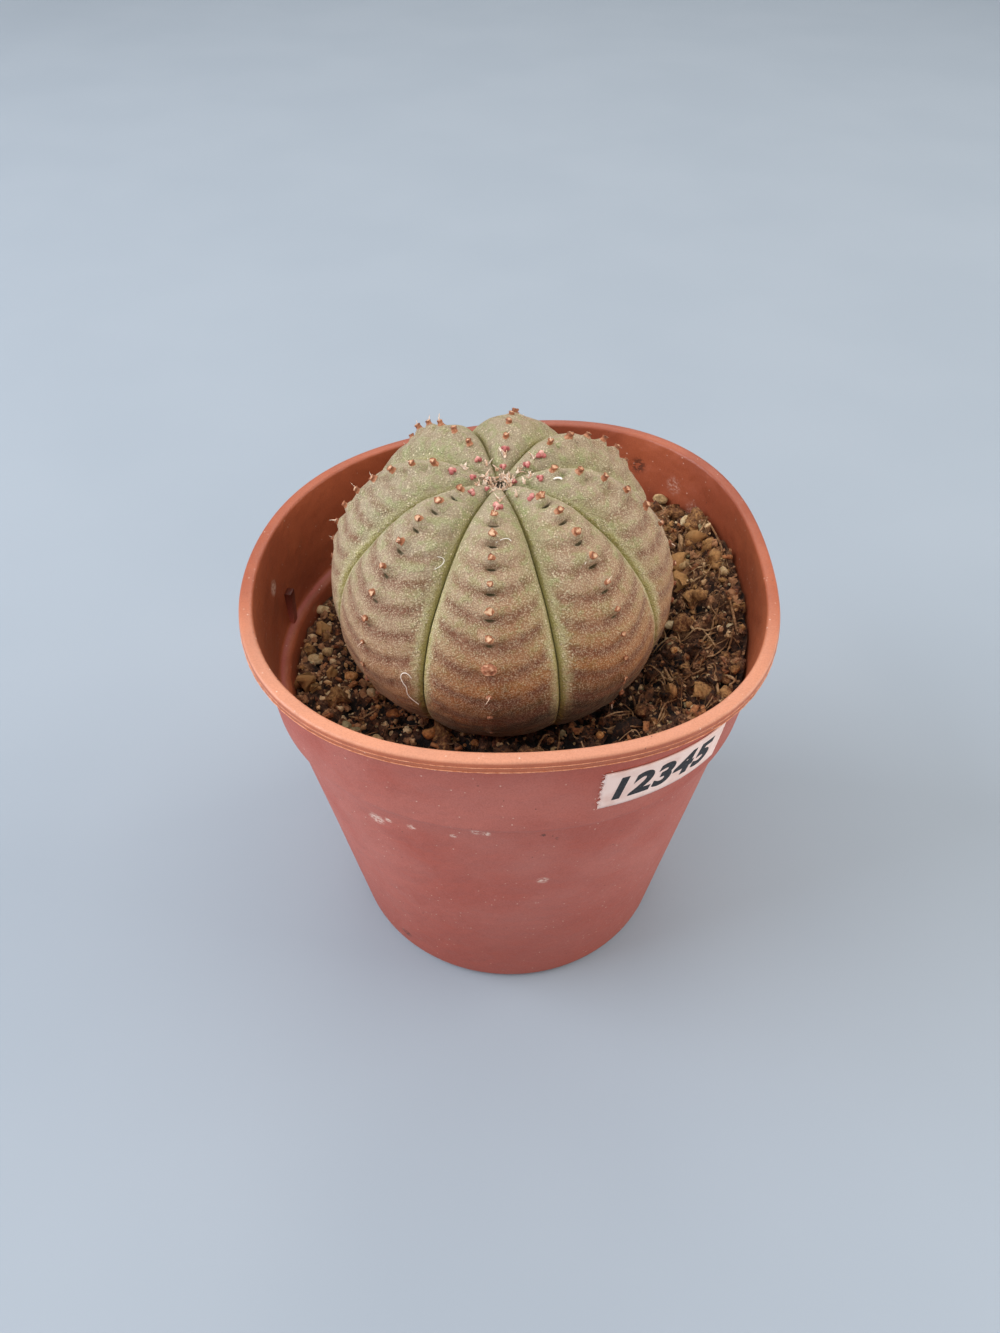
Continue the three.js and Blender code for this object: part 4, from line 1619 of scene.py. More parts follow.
    def _top_of(self, tubercle: Tubercle, below: float = 0.0) -> Vector:
        """Return the top of a tubercle's bump, or a point in the flesh below it."""
        height = 0.97 * self.skin.height(tubercle.rib, tubercle.down)
        return self.shape.skin(tubercle.down, 0.0, tubercle.azimuth, height - below)

    def _stub(self, place: Matrix, size: float, height: float, tone: float = 0.0) -> BMesh:
        """Build a cut-off flower stalk with a broken, cupped tip.

        Args:
            place: Where its foot stands.
            size: Its radius.
            height: How far it stands out.
            tone: How much lighter it is.

        Returns:
            The tinted stalk.
        """
        mesh, layer = tinted()
        rings = [(1.35, -0.5, 0.6), (1.0, 0.1, 0.5), (0.86, 0.55, 0.32), (1.02, 0.95, 0.28), (0.66, 1.0, 0.6)]
        rings += [(0.25, 0.8, 0.95)]
        ring = bmesh.ops.create_circle(mesh, segments=8, radius=1.0, cap_ends=False)["verts"]
        lobes = self.vary(0.0, TURN)
        for number, (radius, rise, tint) in enumerate(rings):
            if number:
                ring = next_ring(mesh, ring)
            for vertex in ring:
                angle = atan2(vertex.co.y, vertex.co.x)
                ragged = 1.0 + 0.2 * sin(3.0 * angle + lobes) * min(1.0, max(rise, 0.0))
                ragged += self.vary(-0.1, 0.1)
                lift = self.vary(-0.2, 0.2) if 0.8 < rise else 0.0
                wide = size * radius * ragged
                vertex.co = Vector((wide * cos(angle), wide * sin(angle), height * (rise + lift)))
                vertex[layer] = tint + tone + self.vary(-0.3, 0.3) * max(rise, 0.2)
        middle = sum((vertex.co for vertex in ring), Vector()) / len(ring)
        bmesh.ops.pointmerge(mesh, verts=ring, merge_co=middle)
        mesh.transform(place)
        return mesh

    def _stubs(self) -> None:
        """Put a stub on every tubercle that shows."""
        mesh = bmesh.new()
        for tubercle in self._showing():
            strength = self.skin.strength(tubercle.down)
            if tubercle.rib == 0 and tubercle.down > self.skin.front_foot[0] - 0.01:
                continue
            size = 0.36 * lerp(0.75, 1.0, strength) * self.vary(0.85, 1.12)
            height = 0.43 * lerp(0.5, 1.0, strength) * self.vary(0.75, 1.2)
            lean = self._tilted(self.shape.outward(tubercle.down, tubercle.azimuth, 0.12), 0.16)
            foot = 0.08 if tubercle.rib == 0 and tubercle.down > 0.9 else 0.0
            size *= 1.0 + 2.0 * foot
            join_into(mesh, self._stub(stand_on(self._top_of(tubercle, 0.08), lean), size, height, foot))
        face_out(mesh)
        self._deliver(mesh, "flower_stubs", Tissue.STUB)

    def _buds(self) -> None:
        """Put clusters of pink buds on the crests round the crown."""
        mesh, layer = tinted()
        clusters = [(178.4, 0.25, 0.42), (133.4, 0.165, 0.38), (-172.6, 0.14, 0.33), (-130.9, 0.215, 0.4)]
        clusters += [(-90.5, 0.295, 0.5), (-52.1, 0.285, 0.46), (-13.1, 0.225, 0.36), (25.8, 0.165, 0.36)]
        clusters += [(30.5, 0.262, 0.48), (76.7, 0.095, 0.33), (81.0, 0.2, 0.44), (-15.9, 0.085, 0.28)]
        clusters += [(157.9, 0.06, 0.26), (-121.3, 0.12, 0.26)]
        for azimuth, down, size in clusters:
            foot = self.shape.skin(down, 0.0, azimuth, 0.0)
            upright = self.shape.outward(down, azimuth, 0.1)
            spin = self.vary(0.0, TURN)
            for lobe in range(4):
                away = 0.62 * size if lobe else 0.0
                around = Vector((away, 0.0, size * (0.42 if lobe else 0.75)))
                around.rotate(Euler((0.0, 0.0, spin + TURN * lobe / 3.0)))
                radius = size * self.vary(0.5, 0.66)
                stretch = Matrix.Diagonal((1.0, 1.0, self.vary(1.0, 1.35), 1.0))
                place = stand_on(foot, upright) @ Matrix.Translation(around) @ stretch
                made = bmesh.ops.create_icosphere(mesh, subdivisions=2, radius=radius, matrix=place)
                tone = self.vary(0.2, 0.6)
                top = foot + upright * size * 1.5
                for vertex in made["verts"]:
                    close = bell((vertex.co - top).length, 0.7 * size)
                    vertex.co += noise.noise_vector(vertex.co * 2.6) * 0.12 * size
                    vertex[layer] = tone + 0.5 * close
        self._deliver(mesh, "flower_buds", Tissue.BUD)

    def _spike(
        self, mesh: BMesh, place: Matrix, radius: float, length: float, curl: float, tint: float
    ) -> None:
        """Add a dry, curled, flattened spike that narrows to a point.

        Args:
            mesh: The tinted mesh that it goes into.
            place: Where its foot stands.
            radius: Radius of its foot.
            length: Its length.
            curl: How far its tip bends, in radians.
            tint: Its tone.
        """
        layer = mesh.verts.layers.float["tint"]
        steps = 5
        ring = bmesh.ops.create_circle(mesh, segments=5, radius=1.0, cap_ends=False)["verts"]
        body = list(ring)
        for step in range(steps + 1):
            if step:
                ring = next_ring(mesh, ring)
                body += ring
            share = step / steps
            thick = radius * (1.0 - share) ** 0.7 + 0.012
            bend, reach = curl * share, length * share
            for number, vertex in enumerate(sorted(ring, key=lambda v: atan2(v.co.y, v.co.x))):
                angle = TURN * number / 5.0
                flat = Vector((thick * cos(angle), 0.6 * thick * sin(angle), 0.0))
                flat.rotate(Euler((0.0, bend, 0.0)))
                vertex.co = flat + Vector((reach * sin(bend) * 0.6, 0.0, reach * cos(bend * 0.6)))
                vertex[layer] = tint + 0.25 * share
        bmesh.ops.transform(mesh, matrix=place, verts=body)

    def _tuft(self, mesh: BMesh, azimuth: float, down: float, size: float, count: int) -> None:
        """Add a star of dry flat scales.

        Args:
            mesh: The tinted mesh that it goes into.
            azimuth: Its azimuth.
            down: How far down it sits.
            size: The longest scales' length.
            count: How many scales it has.
        """
        foot = self.shape.skin(down, 0.0, azimuth, -0.1)
        for _ in range(count):
            lean = self._tilted(self.shape.outward(down, azimuth, 0.3), 0.75)
            place = stand_on(foot, lean, self.vary(0.0, TURN))
            width, length = size * self.vary(0.13, 0.24), size * self.vary(0.6, 1.1)
            self._spike(mesh, place, width, length, self.vary(-1.0, 1.0), self.vary(0.4, 0.9))

    def _crown(self) -> None:
        """Crowd the sunken crown with stars of dry scales round its dark hollow."""
        mesh, _ = tinted()
        stars = [(-88.8, 0.225, 1.0), (124.5, 0.12, 1.0), (166.6, 0.19, 1.1), (-146.3, 0.13, 0.9)]
        stars += [(178.4, 0.08, 0.9), (26.0, 0.11, 1.0), (-9.7, 0.165, 1.0), (34.7, 0.225, 1.0)]
        stars += [(79.8, 0.165, 1.2), (-24.3, 0.15, 0.9), (65.7, 0.055, 0.9), (-62.0, 0.2, 0.8)]
        for azimuth, down, size in stars:
            self._tuft(mesh, azimuth, down, size, 5)
        for number in range(26):
            azimuth = 360.0 * (number * 0.618 % 1.0)
            self._tuft(mesh, azimuth, self.vary(0.035, 0.1), self.vary(0.8, 1.3), 3)
        self._deliver(mesh, "crown_scales", Tissue.SCALE)

    def _thorns(self) -> None:
        """Put thin dry stalks beside some of the stubs."""
        mesh, _ = tinted()
        for tubercle in self._showing():
            left = tubercle.rib in (5, 6, 7) and tubercle.number in (3, 4, 6, 7)
            foot_thorn = tubercle.rib == 0 and tubercle.down == self.skin.front_foot[1]
            if not left and not foot_thorn and self.chance.random() > 0.12:
                continue
            lean = self._tilted(self.shape.outward(tubercle.down, tubercle.azimuth, 0.35), 0.35)
            place = stand_on(self._top_of(tubercle, 0.15), lean, self.vary(0.0, TURN))
            self._spike(mesh, place, 0.11, self.vary(0.9, 1.5), self.vary(0.3, 1.0), 0.62)
        self._deliver(mesh, "dry_thorns", Tissue.SCALE)

    def _scars(self) -> None:
        """Put the corky scars where flower stalks have fallen off low on the ribs."""
        mesh, layer = tinted()
        big, star, small, tiny = self.skin.front_foot
        scars = [(0, big, 0.8), (0, star, 0.34), (0, small, 0.28), (0, tiny, 0.16)]
        scars += [(1, 1.62, 0.2), (7, 1.66, 0.2)]
        for rib, down, size in scars:
            azimuth = self.shape.rib_azimuth(rib)
            out = self.shape.outward(down, azimuth)
            foot = self.shape.skin(down, 0.0, azimuth, 0.97 * self.skin.height(rib, down) + 0.02)
            place = stand_on(foot, out) @ Matrix.Diagonal((1.0, 0.85, 0.3, 1.0))
            made = bmesh.ops.create_icosphere(mesh, subdivisions=3, radius=size, matrix=place)
            for vertex in made["verts"]:
                crack = noise.noise(vertex.co * 2.6 / size)
                vertex.co += out * crack * 0.3 * size
                vertex.co += noise.noise_vector(vertex.co * 1.7 / size) * 0.22 * size
                vertex[layer] = 0.5 + 0.7 * crack
        self._deliver(mesh, "corky_scars", Tissue.SCAR)

    def _hairs(self) -> None:
        """Lay a few stray white hairs and a flake on the skin."""
        strands = Strands("stray_hairs", radius=0.055)
        long_hair = [(1.42, -118.4), (1.396, -119.3), (1.386, -120.9), (1.43, -122.4), (1.484, -121.2)]
        long_hair += [(1.5, -119.8), (1.566, -120.4), (1.606, -118.7), (1.65, -116.6)]
        wanders = (
            (long_hair, 1.0),
            ([(0.678, -120.5), (0.666, -118.0), (0.69, -117.4), (0.72, -118.0), (0.75, -119.6)], 0.8),
            ([(0.545, -91.0), (0.52, -87.1), (0.51, -84.1), (0.538, -82.6)], 0.9),
            ([(0.3, -14.5), (0.31, -12.6), (0.332, -11.6), (0.344, -13.6)], 2.6),
            ([(0.78, -52.0), (0.76, -50.0), (0.79, -48.6)], 0.7),
        )
        for wander, thick in wanders:
            path = []
            for down, azimuth in wander:
                rib = round((azimuth - self.shape.first_azimuth) / 45.0)
                gap = min(abs(azimuth - self.shape.rib_azimuth(rib)) / 22.5, 1.0)
                path.append(self.shape.place() @ self.shape.skin(down, gap, azimuth, 0.2 + 0.03 * thick))
            strands.add(path, thick, 0.8)
        mesh = strands.mesh()
        layer = mesh.verts.layers.float.new("tint")
        for vertex in mesh.verts:
            vertex[layer] = 0.8
        self.bench.deliver(mesh, "stray_hairs", Tissue.HAIR.material(), "plant_skin")


@dataclass
class Strands:
    """Thin four-sided strands along smooth paths, with their radius at the thickest."""

    name: str
    radius: float
    curve: bpy.types.Curve = None

    def __post_init__(self) -> None:
        """Make the empty curve that the strands are drawn in."""
        self.curve = bpy.data.curves.new(self.name, "CURVE")
        self.curve.dimensions = "3D"
        self.curve.bevel_depth = self.radius
        self.curve.bevel_resolution = 0
        self.curve.resolution_u = 5
        self.curve.use_fill_caps = True

    def add(self, path: Sequence[Vector], thick: float = 1.0, taper: float = 0.3) -> None:
        """Draw one strand.

        Args:
            path: The points that it runs near.
            thick: Its thickness as a share of the radius.
            taper: Thickness of its ends as a share of its middle.
        """
        spline = self.curve.splines.new("NURBS")
        spline.points.add(len(path) - 1)
        last = len(path) - 1
        for number, point in enumerate(path):
            spline.points[number].co = (*point, 1.0)
            share = sin(pi * number / last)
            spline.points[number].radius = thick * lerp(taper, 1.0, share**0.5)
        spline.order_u = min(4, len(path))
        spline.use_endpoint_u = True

    def mesh(self) -> BMesh:
        """Turn the strands into a mesh, and use up the curve."""
        return mesh_of(self.curve)


# Soil


@dataclass(frozen=True)
class SoilShape:
    """The surface of the potting mix: a sloping bed in low waves, heaped against one side."""

    pot: PotShape = PotShape()
    plant: PlantShape = PlantShape()
    middle: float = 42.0
    slope: float = 0.1
    heap: float = 5.0
    heap_at: float = 22.0
    heap_spread: float = 42.0
    gap: float = 0.3
    waves: tuple[tuple[float, float, float, float], ...] = (
        (0.35, 0.9, 1.1, 1.3), (0.28, 2.3, -1.7, 0.0), (0.22, 2.9, 1.9, 0.8),
    )

    def level(self, x: float, y: float) -> float:
        """Work out the bed's plain height.

        Args:
            x: How far right.
            y: How far back.

        Returns:
            The height there.
        """
        angle = degrees(atan2(y, x))
        side = bell(angle - self.heap_at, self.heap_spread)
        heap = self.heap * side * smoothstep(hypot(x, y), 15.0, 27.0)
        waves = sum(size * sin(right * x + back * y + start) for size, right, back, start in self.waves)
        return self.middle + self.slope * x + heap + 0.6 * waves

    def heaped(self, spot: Vector) -> float:
        """Return how much of the dry, light heap there is at a place, from 0 to 1."""
        angle = degrees(atan2(spot.y, spot.x))
        return bell(angle - self.heap_at, self.heap_spread) * smoothstep(spot.xy.length, 15.0, 20.0)

    def tone(self, spot: Vector, dry: float = 1.0) -> float:
        """Work out how light the mix is.

        Args:
            spot: The place.
            dry: How much of the heap's and the left side's paleness shows; the left side's is painted light.

        Returns:
            How much lighter it is.
        """
        angle = degrees(atan2(spot.y, spot.x))
        # Painted shade round the plant and at the front, painted light on the left side; the heap is paler
        # dry coir.
        shaded = smoothstep(self.from_plant(spot.x, spot.y), 23.5, 18.0)
        left = bell(180.0 - abs(angle), 45.0)
        heap = self.heaped(spot) * (1.3 - 1.1 * bell(angle + 35.0, 40.0))
        front = bell(angle + 82.0, 38.0)
        return 0.46 * heap * (0.3 + 0.7 * dry) + 0.8 * dry * left - 0.26 * shaded - 0.06 * front

    def crumbled(self, x: float, y: float) -> float:
        """Work out the bed's height with its crumbs and hollows.

        Args:
            x: How far right.
            y: How far back.

        Returns:
            The height there.
        """
        spot = Vector((x, y, 0.0))
        lumps = noise.fractal(spot * 0.45, 0.8, 2.1, 4)
        clods = noise.voronoi(spot * 0.62)[0][0]
        crumbs = noise.voronoi(spot * 1.7)[0][0]
        rough = 1.0 + 0.6 * self.heaped(spot)
        return self.level(x, y) - 0.2 + rough * (0.75 * lumps + 0.7 * (0.45 - clods) + 0.34 * (0.4 - crumbs))

    def from_plant(self, x: float, y: float) -> float:
        """Return the distance from the plant's axis."""
        return hypot(x - self.plant.centre.x, y - self.plant.centre.y)

    def surface(self, x: float, y: float) -> float:
        """Return the bed's height, hollowed out where the plant sits in it."""
        return min(self.crumbled(x, y), self.plant.underside(self.from_plant(x, y)) - 0.4)

    def reach(self, azimuth: float, height: float) -> float:
        """Work out how far the bed goes before the wall or a lug.

        Args:
            azimuth: An azimuth.
            height: A height.

        Returns:
            The unbent radius there.
        """
        ledge = self.pot.ledge
        over = smoothstep(height, ledge, ledge + 1.5)
        below = self.pot.inner_radius(min(height, ledge))
        free = lerp(below, self.pot.inner_radius(max(height, ledge + 0.01)), over) - self.gap
        for lug in self.pot.lugs_at:
            off = abs((azimuth - lug + 180.0) % 360.0 - 180.0)
            free -= 1.0 * smoothstep(off, 4.5, 2.6) if height > ledge - 0.8 else 0.0
        return free

    def inside_wall(self, x: float, y: float, height: float, margin: float) -> bool:
        """Tell whether a place is clear of the wall by a margin."""
        azimuth = degrees(atan2(y, x))
        edge = self.pot.bend(at(self.reach(azimuth, height), azimuth, height))
        return hypot(x, y) < hypot(edge.x, edge.y) - margin


# Larger grains of each kind: place, half sizes and tone.
LARGE_GRAINS = {
    Grit.CREAM: [
        (-24.3, 8.0, 1.3, 0.6, 0.55, 0.6), (-24.2, -0.8, 0.85, 0.7, 0.6, 0.55),
        (-22.7, 0.4, 0.75, 0.6, 0.5, 0.3), (-16.3, -8.1, 0.55, 0.48, 0.45, 0.7),
        (-15.3, -14.0, 0.6, 0.45, 0.4, 0.4), (-11.6, -13.8, 0.35, 0.28, 0.25, 0.6),
        (19.0, 21.4, 0.95, 0.7, 0.6, 0.35), (21.8, 15.9, 0.95, 0.7, 0.6, 0.8),
        (20.6, 8.6, 1.1, 0.6, 0.55, 0.4), (24.9, 7.3, 0.8, 0.65, 0.55, 0.5),
        (24.9, 5.6, 0.6, 0.5, 0.45, 0.6), (24.9, -2.1, 0.55, 0.45, 0.4, 0.9),
        (18.9, 0.9, 1.2, 0.8, 0.55, 0.85), (19.7, -12.4, 0.4, 0.3, 0.25, 0.95),
    ],
    Grit.AMBER: [
        (-19.2, -4.3, 0.85, 0.66, 0.6, 0.55), (-15.5, -9.6, 0.5, 0.42, 0.4, 0.45),
        (-13.6, -10.9, 0.85, 0.6, 0.5, 0.02), (-9.3, -14.4, 0.85, 0.66, 0.55, 0.3),
        (-4.2, -15.6, 0.48, 0.42, 0.4, 0.25), (18.4, -4.1, 0.46, 0.42, 0.4, 0.7),
        (9.5, -15.2, 0.6, 0.5, 0.45, 0.35),
    ],
    Grit.GREY: [(-18.9, -12.2, 0.65, 0.5, 0.45, 0.6), (-17.8, -12.6, 0.6, 0.5, 0.4, 0.7)],
}

# Longer dry stalks: path and thickness.
STALKS = (
    (((-19.7, -6.4), (-20.3, -8.4), (-20.6, -10.3)), 0.5),
    (((-19.2, -6.3), (-20.0, -6.5), (-20.8, -6.5)), 0.45),
    (((-16.5, -13.2), (-13.4, -12.9), (-10.0, -12.6)), 0.55),
    (((19.0, 1.9), (20.0, -0.7), (20.9, -2.1)), 1.2),
    (((21.8, -1.9), (22.5, -3.6), (23.0, -4.9)), 0.6),
    (((25.0, 0.8), (25.3, -1.6), (25.2, -3.9)), 1.1),
    (((22.4, 0.9), (24.0, 0.8), (25.5, 0.6)), 0.5),
    (((24.0, 14.2), (24.9, 11.8), (25.3, 9.2)), 0.9),
    (((20.6, 13.6), (20.7, 12.0), (20.4, 10.6)), 1.9),
    (((17.2, -6.1), (17.6, -8.4), (18.4, -10.3)), 1.3),
    (((22.0, -7.0), (22.4, -9.2), (22.4, -11.2)), 1.2),
    (((23.2, -8.6), (24.0, -9.4), (24.4, -9.8)), 1.3),
    (((21.6, 11.0), (22.9, 12.2), (23.9, 14.6)), 0.8),
)


@dataclass
class SoilBed:
    """The potting mix and everything that lies in it.

    The coarse share of the bed's rings covers the inner share of its reach, the bed meets the wall at about
    the edge's radius and height, and small things are scattered as far out as scatter.
    """

    bench: Workbench
    shape: SoilShape = SoilShape()
    seed: int = 11
    around: int = 560
    rings: int = 92
    coarse: tuple[float, float] = (0.16, 0.5)
    edge: tuple[float, float] = (26.4, 44.0)
    scatter: float = 27.5

    def build(self) -> None:
        """Build and dress the soil's pieces."""
        self.chance = random.Random(self.seed)
        self.vary = self.chance.uniform
        self._bed()
        self._grains("coir_clods", Grit.CLOD, 340, (0.3, 1.2), 1.0, 0.8)
        self._grains("peat_crumbs", Grit.PEAT, 3000, (0.12, 0.44), 0.8)
        self._grains("tan_grit", Grit.TAN, 1100, (0.1, 0.36), 0.7)
        self._grains("amber_grit", Grit.AMBER, 110, (0.14, 0.42), 0.4)
        self._grains("cream_grit", Grit.CREAM, 240, (0.1, 0.32), 0.6)
        self._grains("grey_grit", Grit.GREY, 60, (0.16, 0.4), 0.5)
        self._keepsakes()
        self._chips()
        self._fibres("dry_straws", Grit.STRAW, 250, 0.13, (1.2, 5.6))
        self._fibres("brown_rootlets", Grit.ROOTLET, 460, 0.08, (1.0, 4.4))
        self._stalks()

    def _bed(self) -> None:
        """Build the bed as one closed body inside the pot: its top, then its side, then its underside."""
        mesh = square_grid(self.around, self.rings)
        layer = mesh.verts.layers.float.new("tint")
        shape, pot = self.shape, self.shape.pot
        bottom = pot.floor_top + shape.gap
        on_ledge = pot.inner_radius(pot.ledge) - shape.gap + 0.02
        under_rows, wall_rows = 4, 9
        top_rows = self.rings - under_rows - wall_rows
        for vertex in mesh.verts:
            row = round(vertex.co.y * self.rings)
            azimuth = 360.0 * (round(vertex.co.x * self.around) % self.around) / self.around - 180.0
            top = self._rim_height(azimuth)
            if row >= self.rings - under_rows:
                share = (self.rings - row) / under_rows
                vertex.co = pot.bend(at(share * (shape.reach(azimuth, bottom) - 0.8), azimuth, bottom))
            elif row > top_rows:
                height = lerp(top, bottom + 0.5, (row - top_rows) / wall_rows)
                vertex.co = pot.bend(at(shape.reach(azimuth, height), azimuth, height))
            else:
                radius = shape.reach(azimuth, top) * self._spacing(row / top_rows)
                spot = pot.bend(at(radius, azimuth, top if row else pot.ledge))
                height = top if row == top_rows else shape.surface(spot.x, spot.y)
                if radius > on_ledge:
                    height = max(height, pot.ledge + 0.06)
                vertex.co = Vector((spot.x, spot.y, height))
                # The tint darkens the hollows below the bed's plain level, painted shade, and takes the mix's
                # tone.
                vertex[layer] = 0.55 + 0.7 * (height - shape.level(spot.x, spot.y)) + shape.tone(spot, 0.15)
        close_mesh(mesh, 1e-3)
        self.bench.deliver(mesh, "soil_bed", PeatSoil().material(), "potting_mix", stands_for="soil")

    def _spacing(self, share: float) -> float:
        """Return a ring's share of the reach: the rings are wide under the plant and fine outside."""
        few, inner = self.coarse
        return inner * share / few if share < few else lerp(inner, 1.0, (share - few) / (1.0 - few))

    def _rim_height(self, azimuth: float) -> float:
        """Return the bed's height where it meets the wall."""
        spot = self.shape.pot.bend(at(self.edge[0], azimuth, self.edge[1]))
        return lerp(self.shape.level(spot.x, spot.y) - 0.1, self.shape.crumbled(spot.x, spot.y), 0.3)

    def _spot(self, margin: float, heaped: float = 0.0) -> Vector:
        """Find a free place on the bed.

        Args:
            margin: The room it needs to the wall and to the plant.
            heaped: How much more likely the heaped side is, from 0 to 1.

        Returns:
            The point on the bed's surface.
        """
        while True:
            radius = self.scatter * sqrt(self.chance.random())
            angle = self.vary(0.0, TURN)
            x, y = radius * cos(angle), radius * sin(angle)
            if self.chance.random() < heaped * (0.5 - 0.5 * cos(angle - radians(20.0))):
                continue
            height = self.shape.crumbled(x, y)
            if not self.shape.inside_wall(x, y, height, margin):
                continue
            room = self.shape.plant.width_at(height + margin) + 0.4 * margin
            if self.shape.from_plant(x, y) > room:
                return Vector((x, y, height))

    def _lump(self, mesh: BMesh, spot: Vector, radii: Vector, tint: float, rough: float) -> None:
        """Add one uneven lump.

        Args:
            mesh: The tinted mesh that it goes into.
            spot: Its middle.
            radii: Its half sizes.
            tint: Its tone.
            rough: How uneven it is, by its size.
        """
        layer = mesh.verts.layers.float["tint"]
        turn = Euler([self.vary(0.0, TURN) for _ in range(3)]).to_matrix().to_4x4()
        place = Matrix.Translation(spot) @ turn @ Matrix.Diagonal((*radii, 1.0))
        size = sum(radii) / 3.0
        if size > 0.3:
            made = bmesh.ops.create_uvsphere(mesh, u_segments=8, v_segments=6, radius=1.0, matrix=place)
        else:
            made = bmesh.ops.create_icosphere(mesh, subdivisions=1, radius=1.0, matrix=place)
        for vertex in made["verts"]:
            crumb = noise.noise_vector(vertex.co * 2.3 / size) * 0.5
            vertex.co += (noise.noise_vector(vertex.co * 0.9 / size) + crumb) * size * rough
            vertex[layer] = tint

    def _grains(
        self, name: str, kind: Grit, count: int, sizes: tuple[float, float], rough: float, heaped: float = 0.0
    ) -> None:
        """Scatter one kind of grain over the bed.

        Args:
            name: The piece's name.
            kind: The kind of grain.
            count: How many there are.
            sizes: Their smallest and largest half size.
            rough: How uneven they are, by their size.
            heaped: How much they keep to the heaped side, from 0 to 1.
        """
        heap = Heap()
        for _ in range(count):
            size = lerp(*sizes, self.chance.random() ** 2.0)
            spot = self._spot(size * 0.9, heaped)
            radii = Vector([size * self.vary(0.6, 1.4) for _ in range(3)])
            spot.z += size * self.vary(-0.2, 0.45)
            # The grains take the mix's tone, with its painted light and shade.
            tint = self.chance.random() + 1.05 * self.shape.tone(spot)
            self._lump(heap.batch(), spot, radii, tint, rough)
        soft = kind is Grit.CLOD
        self.bench.deliver(heap.mesh(), name, kind.material(), "potting_mix", smooth=soft)

    def _over(self, x: float, y: float, lift: float) -> Vector:
        """Return the point a little over the bed at a place."""
        return Vector((x, y, self.shape.crumbled(x, y) + lift))

    def _keepsakes(self) -> None:
        """Lay the larger grains that catch the eye, each in its own place."""
        for kind, grains in LARGE_GRAINS.items():
            mesh, layer = tinted()
            for x, y, *radii, tint in grains:
                spot = self._over(x, y, 0.55 * radii[2])
                turn = Matrix.Rotation(self.vary(-0.5, 0.5), 4, "Z")
                place = Matrix.Translation(spot) @ turn @ Matrix.Diagonal((*radii, 1.0))
                made = bmesh.ops.create_icosphere(mesh, subdivisions=3, radius=1.0, matrix=place)
                for vertex in made["verts"]:
                    vertex.co += noise.noise_vector(vertex.co * 0.8 / radii[0]) * 0.5 * radii[2]
                    vertex.co += noise.noise_vector(vertex.co * 3.1 / radii[0]) * 0.12 * radii[2]
                    vertex[layer] = tint
            self.bench.deliver(mesh, f"large_{kind.value[0]}s", kind.material(), "potting_mix")

    def _stalks(self) -> None:
        """Lay the longer dry stalks, each in its own place."""
        strands = Strands("dry_stalks", 0.22)
        for path, thick in STALKS:
            lifts = (0.3, 0.75, 0.3)
            strands.add([self._over(x, y, z + 0.1 * thick) for (x, y), z in zip(path, lifts)], thick, 0.6)
        self._lay(strands, Grit.STRAW)

    def _chips(self) -> None:
        """Lay flat chips of bark."""
        mesh = bmesh.new()
        chips = [(7.6, -14.7, 2.4, 0.9, 0.75), (14.4, -14.6, 1.3, 0.7, 0.9), (-21.0, -11.0, 1.0, 0.6, 0.4)]
        for _ in range(190):
            spot = self._spot(0.7, heaped=0.6)
            size = self.vary(0.45, 1.25)
            chips.append((spot.x, spot.y, size, size * self.vary(0.35, 0.7), self.chance.random()))
        for x, y, length, width, tint in chips:
            spin = self.vary(0.0, TURN) if length < 2.0 else 0.38
            tilt = Euler((self.vary(-0.5, 0.5), self.vary(-0.3, 0.3), spin))
            chip, layer = tinted()
            bmesh.ops.create_cube(chip, size=1.0)
            bmesh.ops.subdivide_edges(chip, edges=chip.edges, cuts=2, use_grid_fill=True)
            place = Matrix.Translation(self._over(x, y, 0.18)) @ tilt.to_matrix().to_4x4()
            chip.transform(place @ Matrix.Diagonal((length, width, 0.32, 1.0)))
            for vertex in chip.verts:
                vertex.co += noise.noise_vector(vertex.co * 0.9) * 0.16 * length
                vertex[layer] = tint
            join_into(mesh, chip)
        self.bench.deliver(mesh, "bark_chips", Grit.BARK.material(), "potting_mix")

    def _fibres(self, name: str, kind: Grit, count: int, radius: float, lengths: tuple[float, float]) -> None:
        """Tangle thin dry fibres over the bed, mostly on its heaped side.

        Args:
            name: The piece's name.
            kind: The kind of fibre.
            count: How many there are.
            radius: Their radius at the thickest.
            lengths: The shortest and the longest.
        """
        strands = Strands(name, radius)
        made = 0
        while made < count:
            spot = self._spot(0.6, heaped=0.92)
            heading = self.vary(0.0, TURN)
            turning = self.vary(-0.3, 0.3)
            length = self.vary(*lengths)
            arch = self.vary(0.15, 0.9)
            points = []
            steps = 7
            for step in range(steps + 1):
                point = self._over(spot.x, spot.y, 0.1 + arch * sin(pi * step / steps))
                if not self.shape.inside_wall(*point, 0.25):
                    break
                if self.shape.from_plant(spot.x, spot.y) < self.shape.plant.width_at(point.z) + 0.35:
                    break
                points.append(point)
                heading += turning + self.vary(-0.3, 0.3)
                spot.x += length / steps * cos(heading)
                spot.y += length / steps * sin(heading)
            if len(points) > 4:
                strands.add(points, self.vary(0.45, 1.0))
                made += 1
        self._lay(strands, kind)

    def _lay(self, strands: Strands, kind: Grit) -> None:
        """Turn strands into a piece.

        Args:
            strands: The strands. They are used up.
            kind: Their kind.
        """
        mesh = strands.mesh()
        layer = mesh.verts.layers.float.new("tint")
        for vertex in mesh.verts:
            vertex[layer] = 0.5 + 0.9 * noise.noise(vertex.co * 0.35)
        self.bench.deliver(mesh, strands.name, kind.material(), "potting_mix")


# Studio


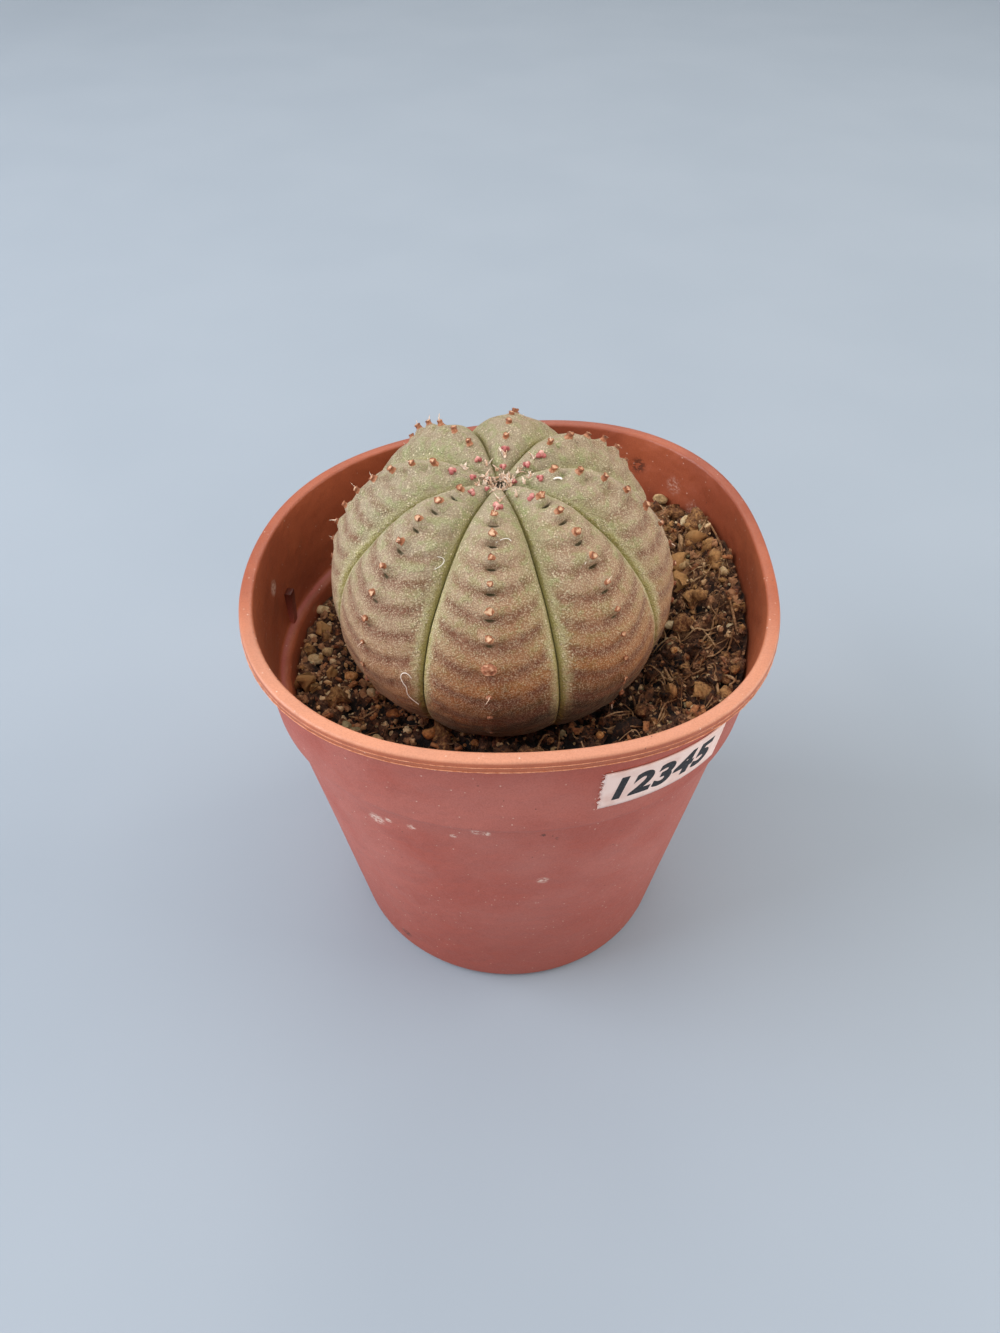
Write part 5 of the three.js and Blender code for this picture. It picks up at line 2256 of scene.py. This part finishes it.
@dataclass(frozen=True)
class Lamp:
    """A soft square light: its place and width in millimetres, its power in watts and its paint code."""

    name: str
    place: tuple[float, float, float]
    size: float
    power: float
    colour: str

    def build(self, target: Vector) -> None:
        """Hang the light.

        Args:
            target: The point that it faces.
        """
        data = bpy.data.lights.new(self.name, "AREA")
        data.shape = "SQUARE"
        data.size = self.size * MM
        data.energy = self.power
        data.color = linear(self.colour)[:3]
        lamp = put(self.name, data)
        lamp.location = Vector(self.place) * MM
        lamp.rotation_euler = (target - lamp.location).to_track_quat("-Z", "Y").to_euler()


@dataclass(frozen=True)
class Viewpoint:
    """The camera, which looks steeply down at the pot: place and lens in millimetres, angles in degrees."""

    place: tuple[float, float, float] = (-1.01, -87.65, 124.84)
    elevation: float = 44.95
    roll: float = 0.96
    lens: float = 27.0

    def build(self) -> None:
        """Put the camera in the scene."""
        data = bpy.data.cameras.new("viewpoint")
        data.sensor_fit = "AUTO"
        data.sensor_width = 36.0
        data.lens = self.lens
        data.clip_start = 0.005
        data.clip_end = 50.0
        camera = put("viewpoint", data)
        down = Matrix.Rotation(radians(90.0 - self.elevation), 4, "X")
        tip = Matrix.Rotation(radians(self.roll), 4, "Z")
        camera.matrix_world = Matrix.Translation(Vector(self.place) * MM) @ down @ tip
        bpy.context.scene.camera = camera


@dataclass
class Studio:
    """Floor, soft light and camera."""

    viewpoint: Viewpoint = Viewpoint()
    lamps: tuple[Lamp, ...] = (
        Lamp("overhead", (0.0, 60.0, 820.0), 950.0, 3.7, "fff8f0"),
        Lamp("back_glow", (0.0, 700.0, 600.0), 460.0, 1.3, "fff8f0"),
        Lamp("window_left", (-600.0, -60.0, 400.0), 520.0, 5.3, "f4f7ff"),
        Lamp("window_right", (640.0, 60.0, 300.0), 520.0, 3.0, "fffaf2"),
        Lamp("front_fill", (80.0, -700.0, 340.0), 600.0, 1.9, "fff4ea"),
    )
    sky: str = "dfe8f2"
    sky_strength: float = 0.48

    def build(self) -> None:
        """Build the studio."""
        self._floor()
        for lamp in self.lamps:
            lamp.build(Vector((0.0, 0.0, 0.045)))
        world = bpy.data.worlds.new("soft_sky")
        world.use_nodes = True
        sky = world.node_tree.nodes["Background"]
        sky.inputs["Color"].default_value = linear(self.sky)
        sky.inputs["Strength"].default_value = self.sky_strength
        bpy.context.scene.world = world
        self.viewpoint.build()
        bpy.context.scene.view_settings.view_transform = "Standard"
        bpy.context.scene.view_settings.look = "None"

    def _floor(self) -> None:
        """Lay the plain floor under the pot."""
        mesh = bmesh.new()
        bmesh.ops.create_grid(mesh, x_segments=2, y_segments=2, size=3.0)
        floor = put("floor", to_data(mesh, "floor"))
        floor.data.materials.append(PaleCard().material())


def main() -> None:
    """Build the potted plant and its studio."""
    logging.basicConfig(level=logging.INFO, format="%(name)s: %(message)s")
    noise.seed_set(NOISE_SEED)
    bench = Workbench()
    ground = SoilShape()
    Studio().build()
    NurseryPot(bench).build()
    Sticker(bench).build()
    SoilBed(bench, ground).build()
    BaseballPlant(bench, ground).build()
    log.info("%d pieces made", len(bench.pieces))


if __name__ == "__main__":
    main()
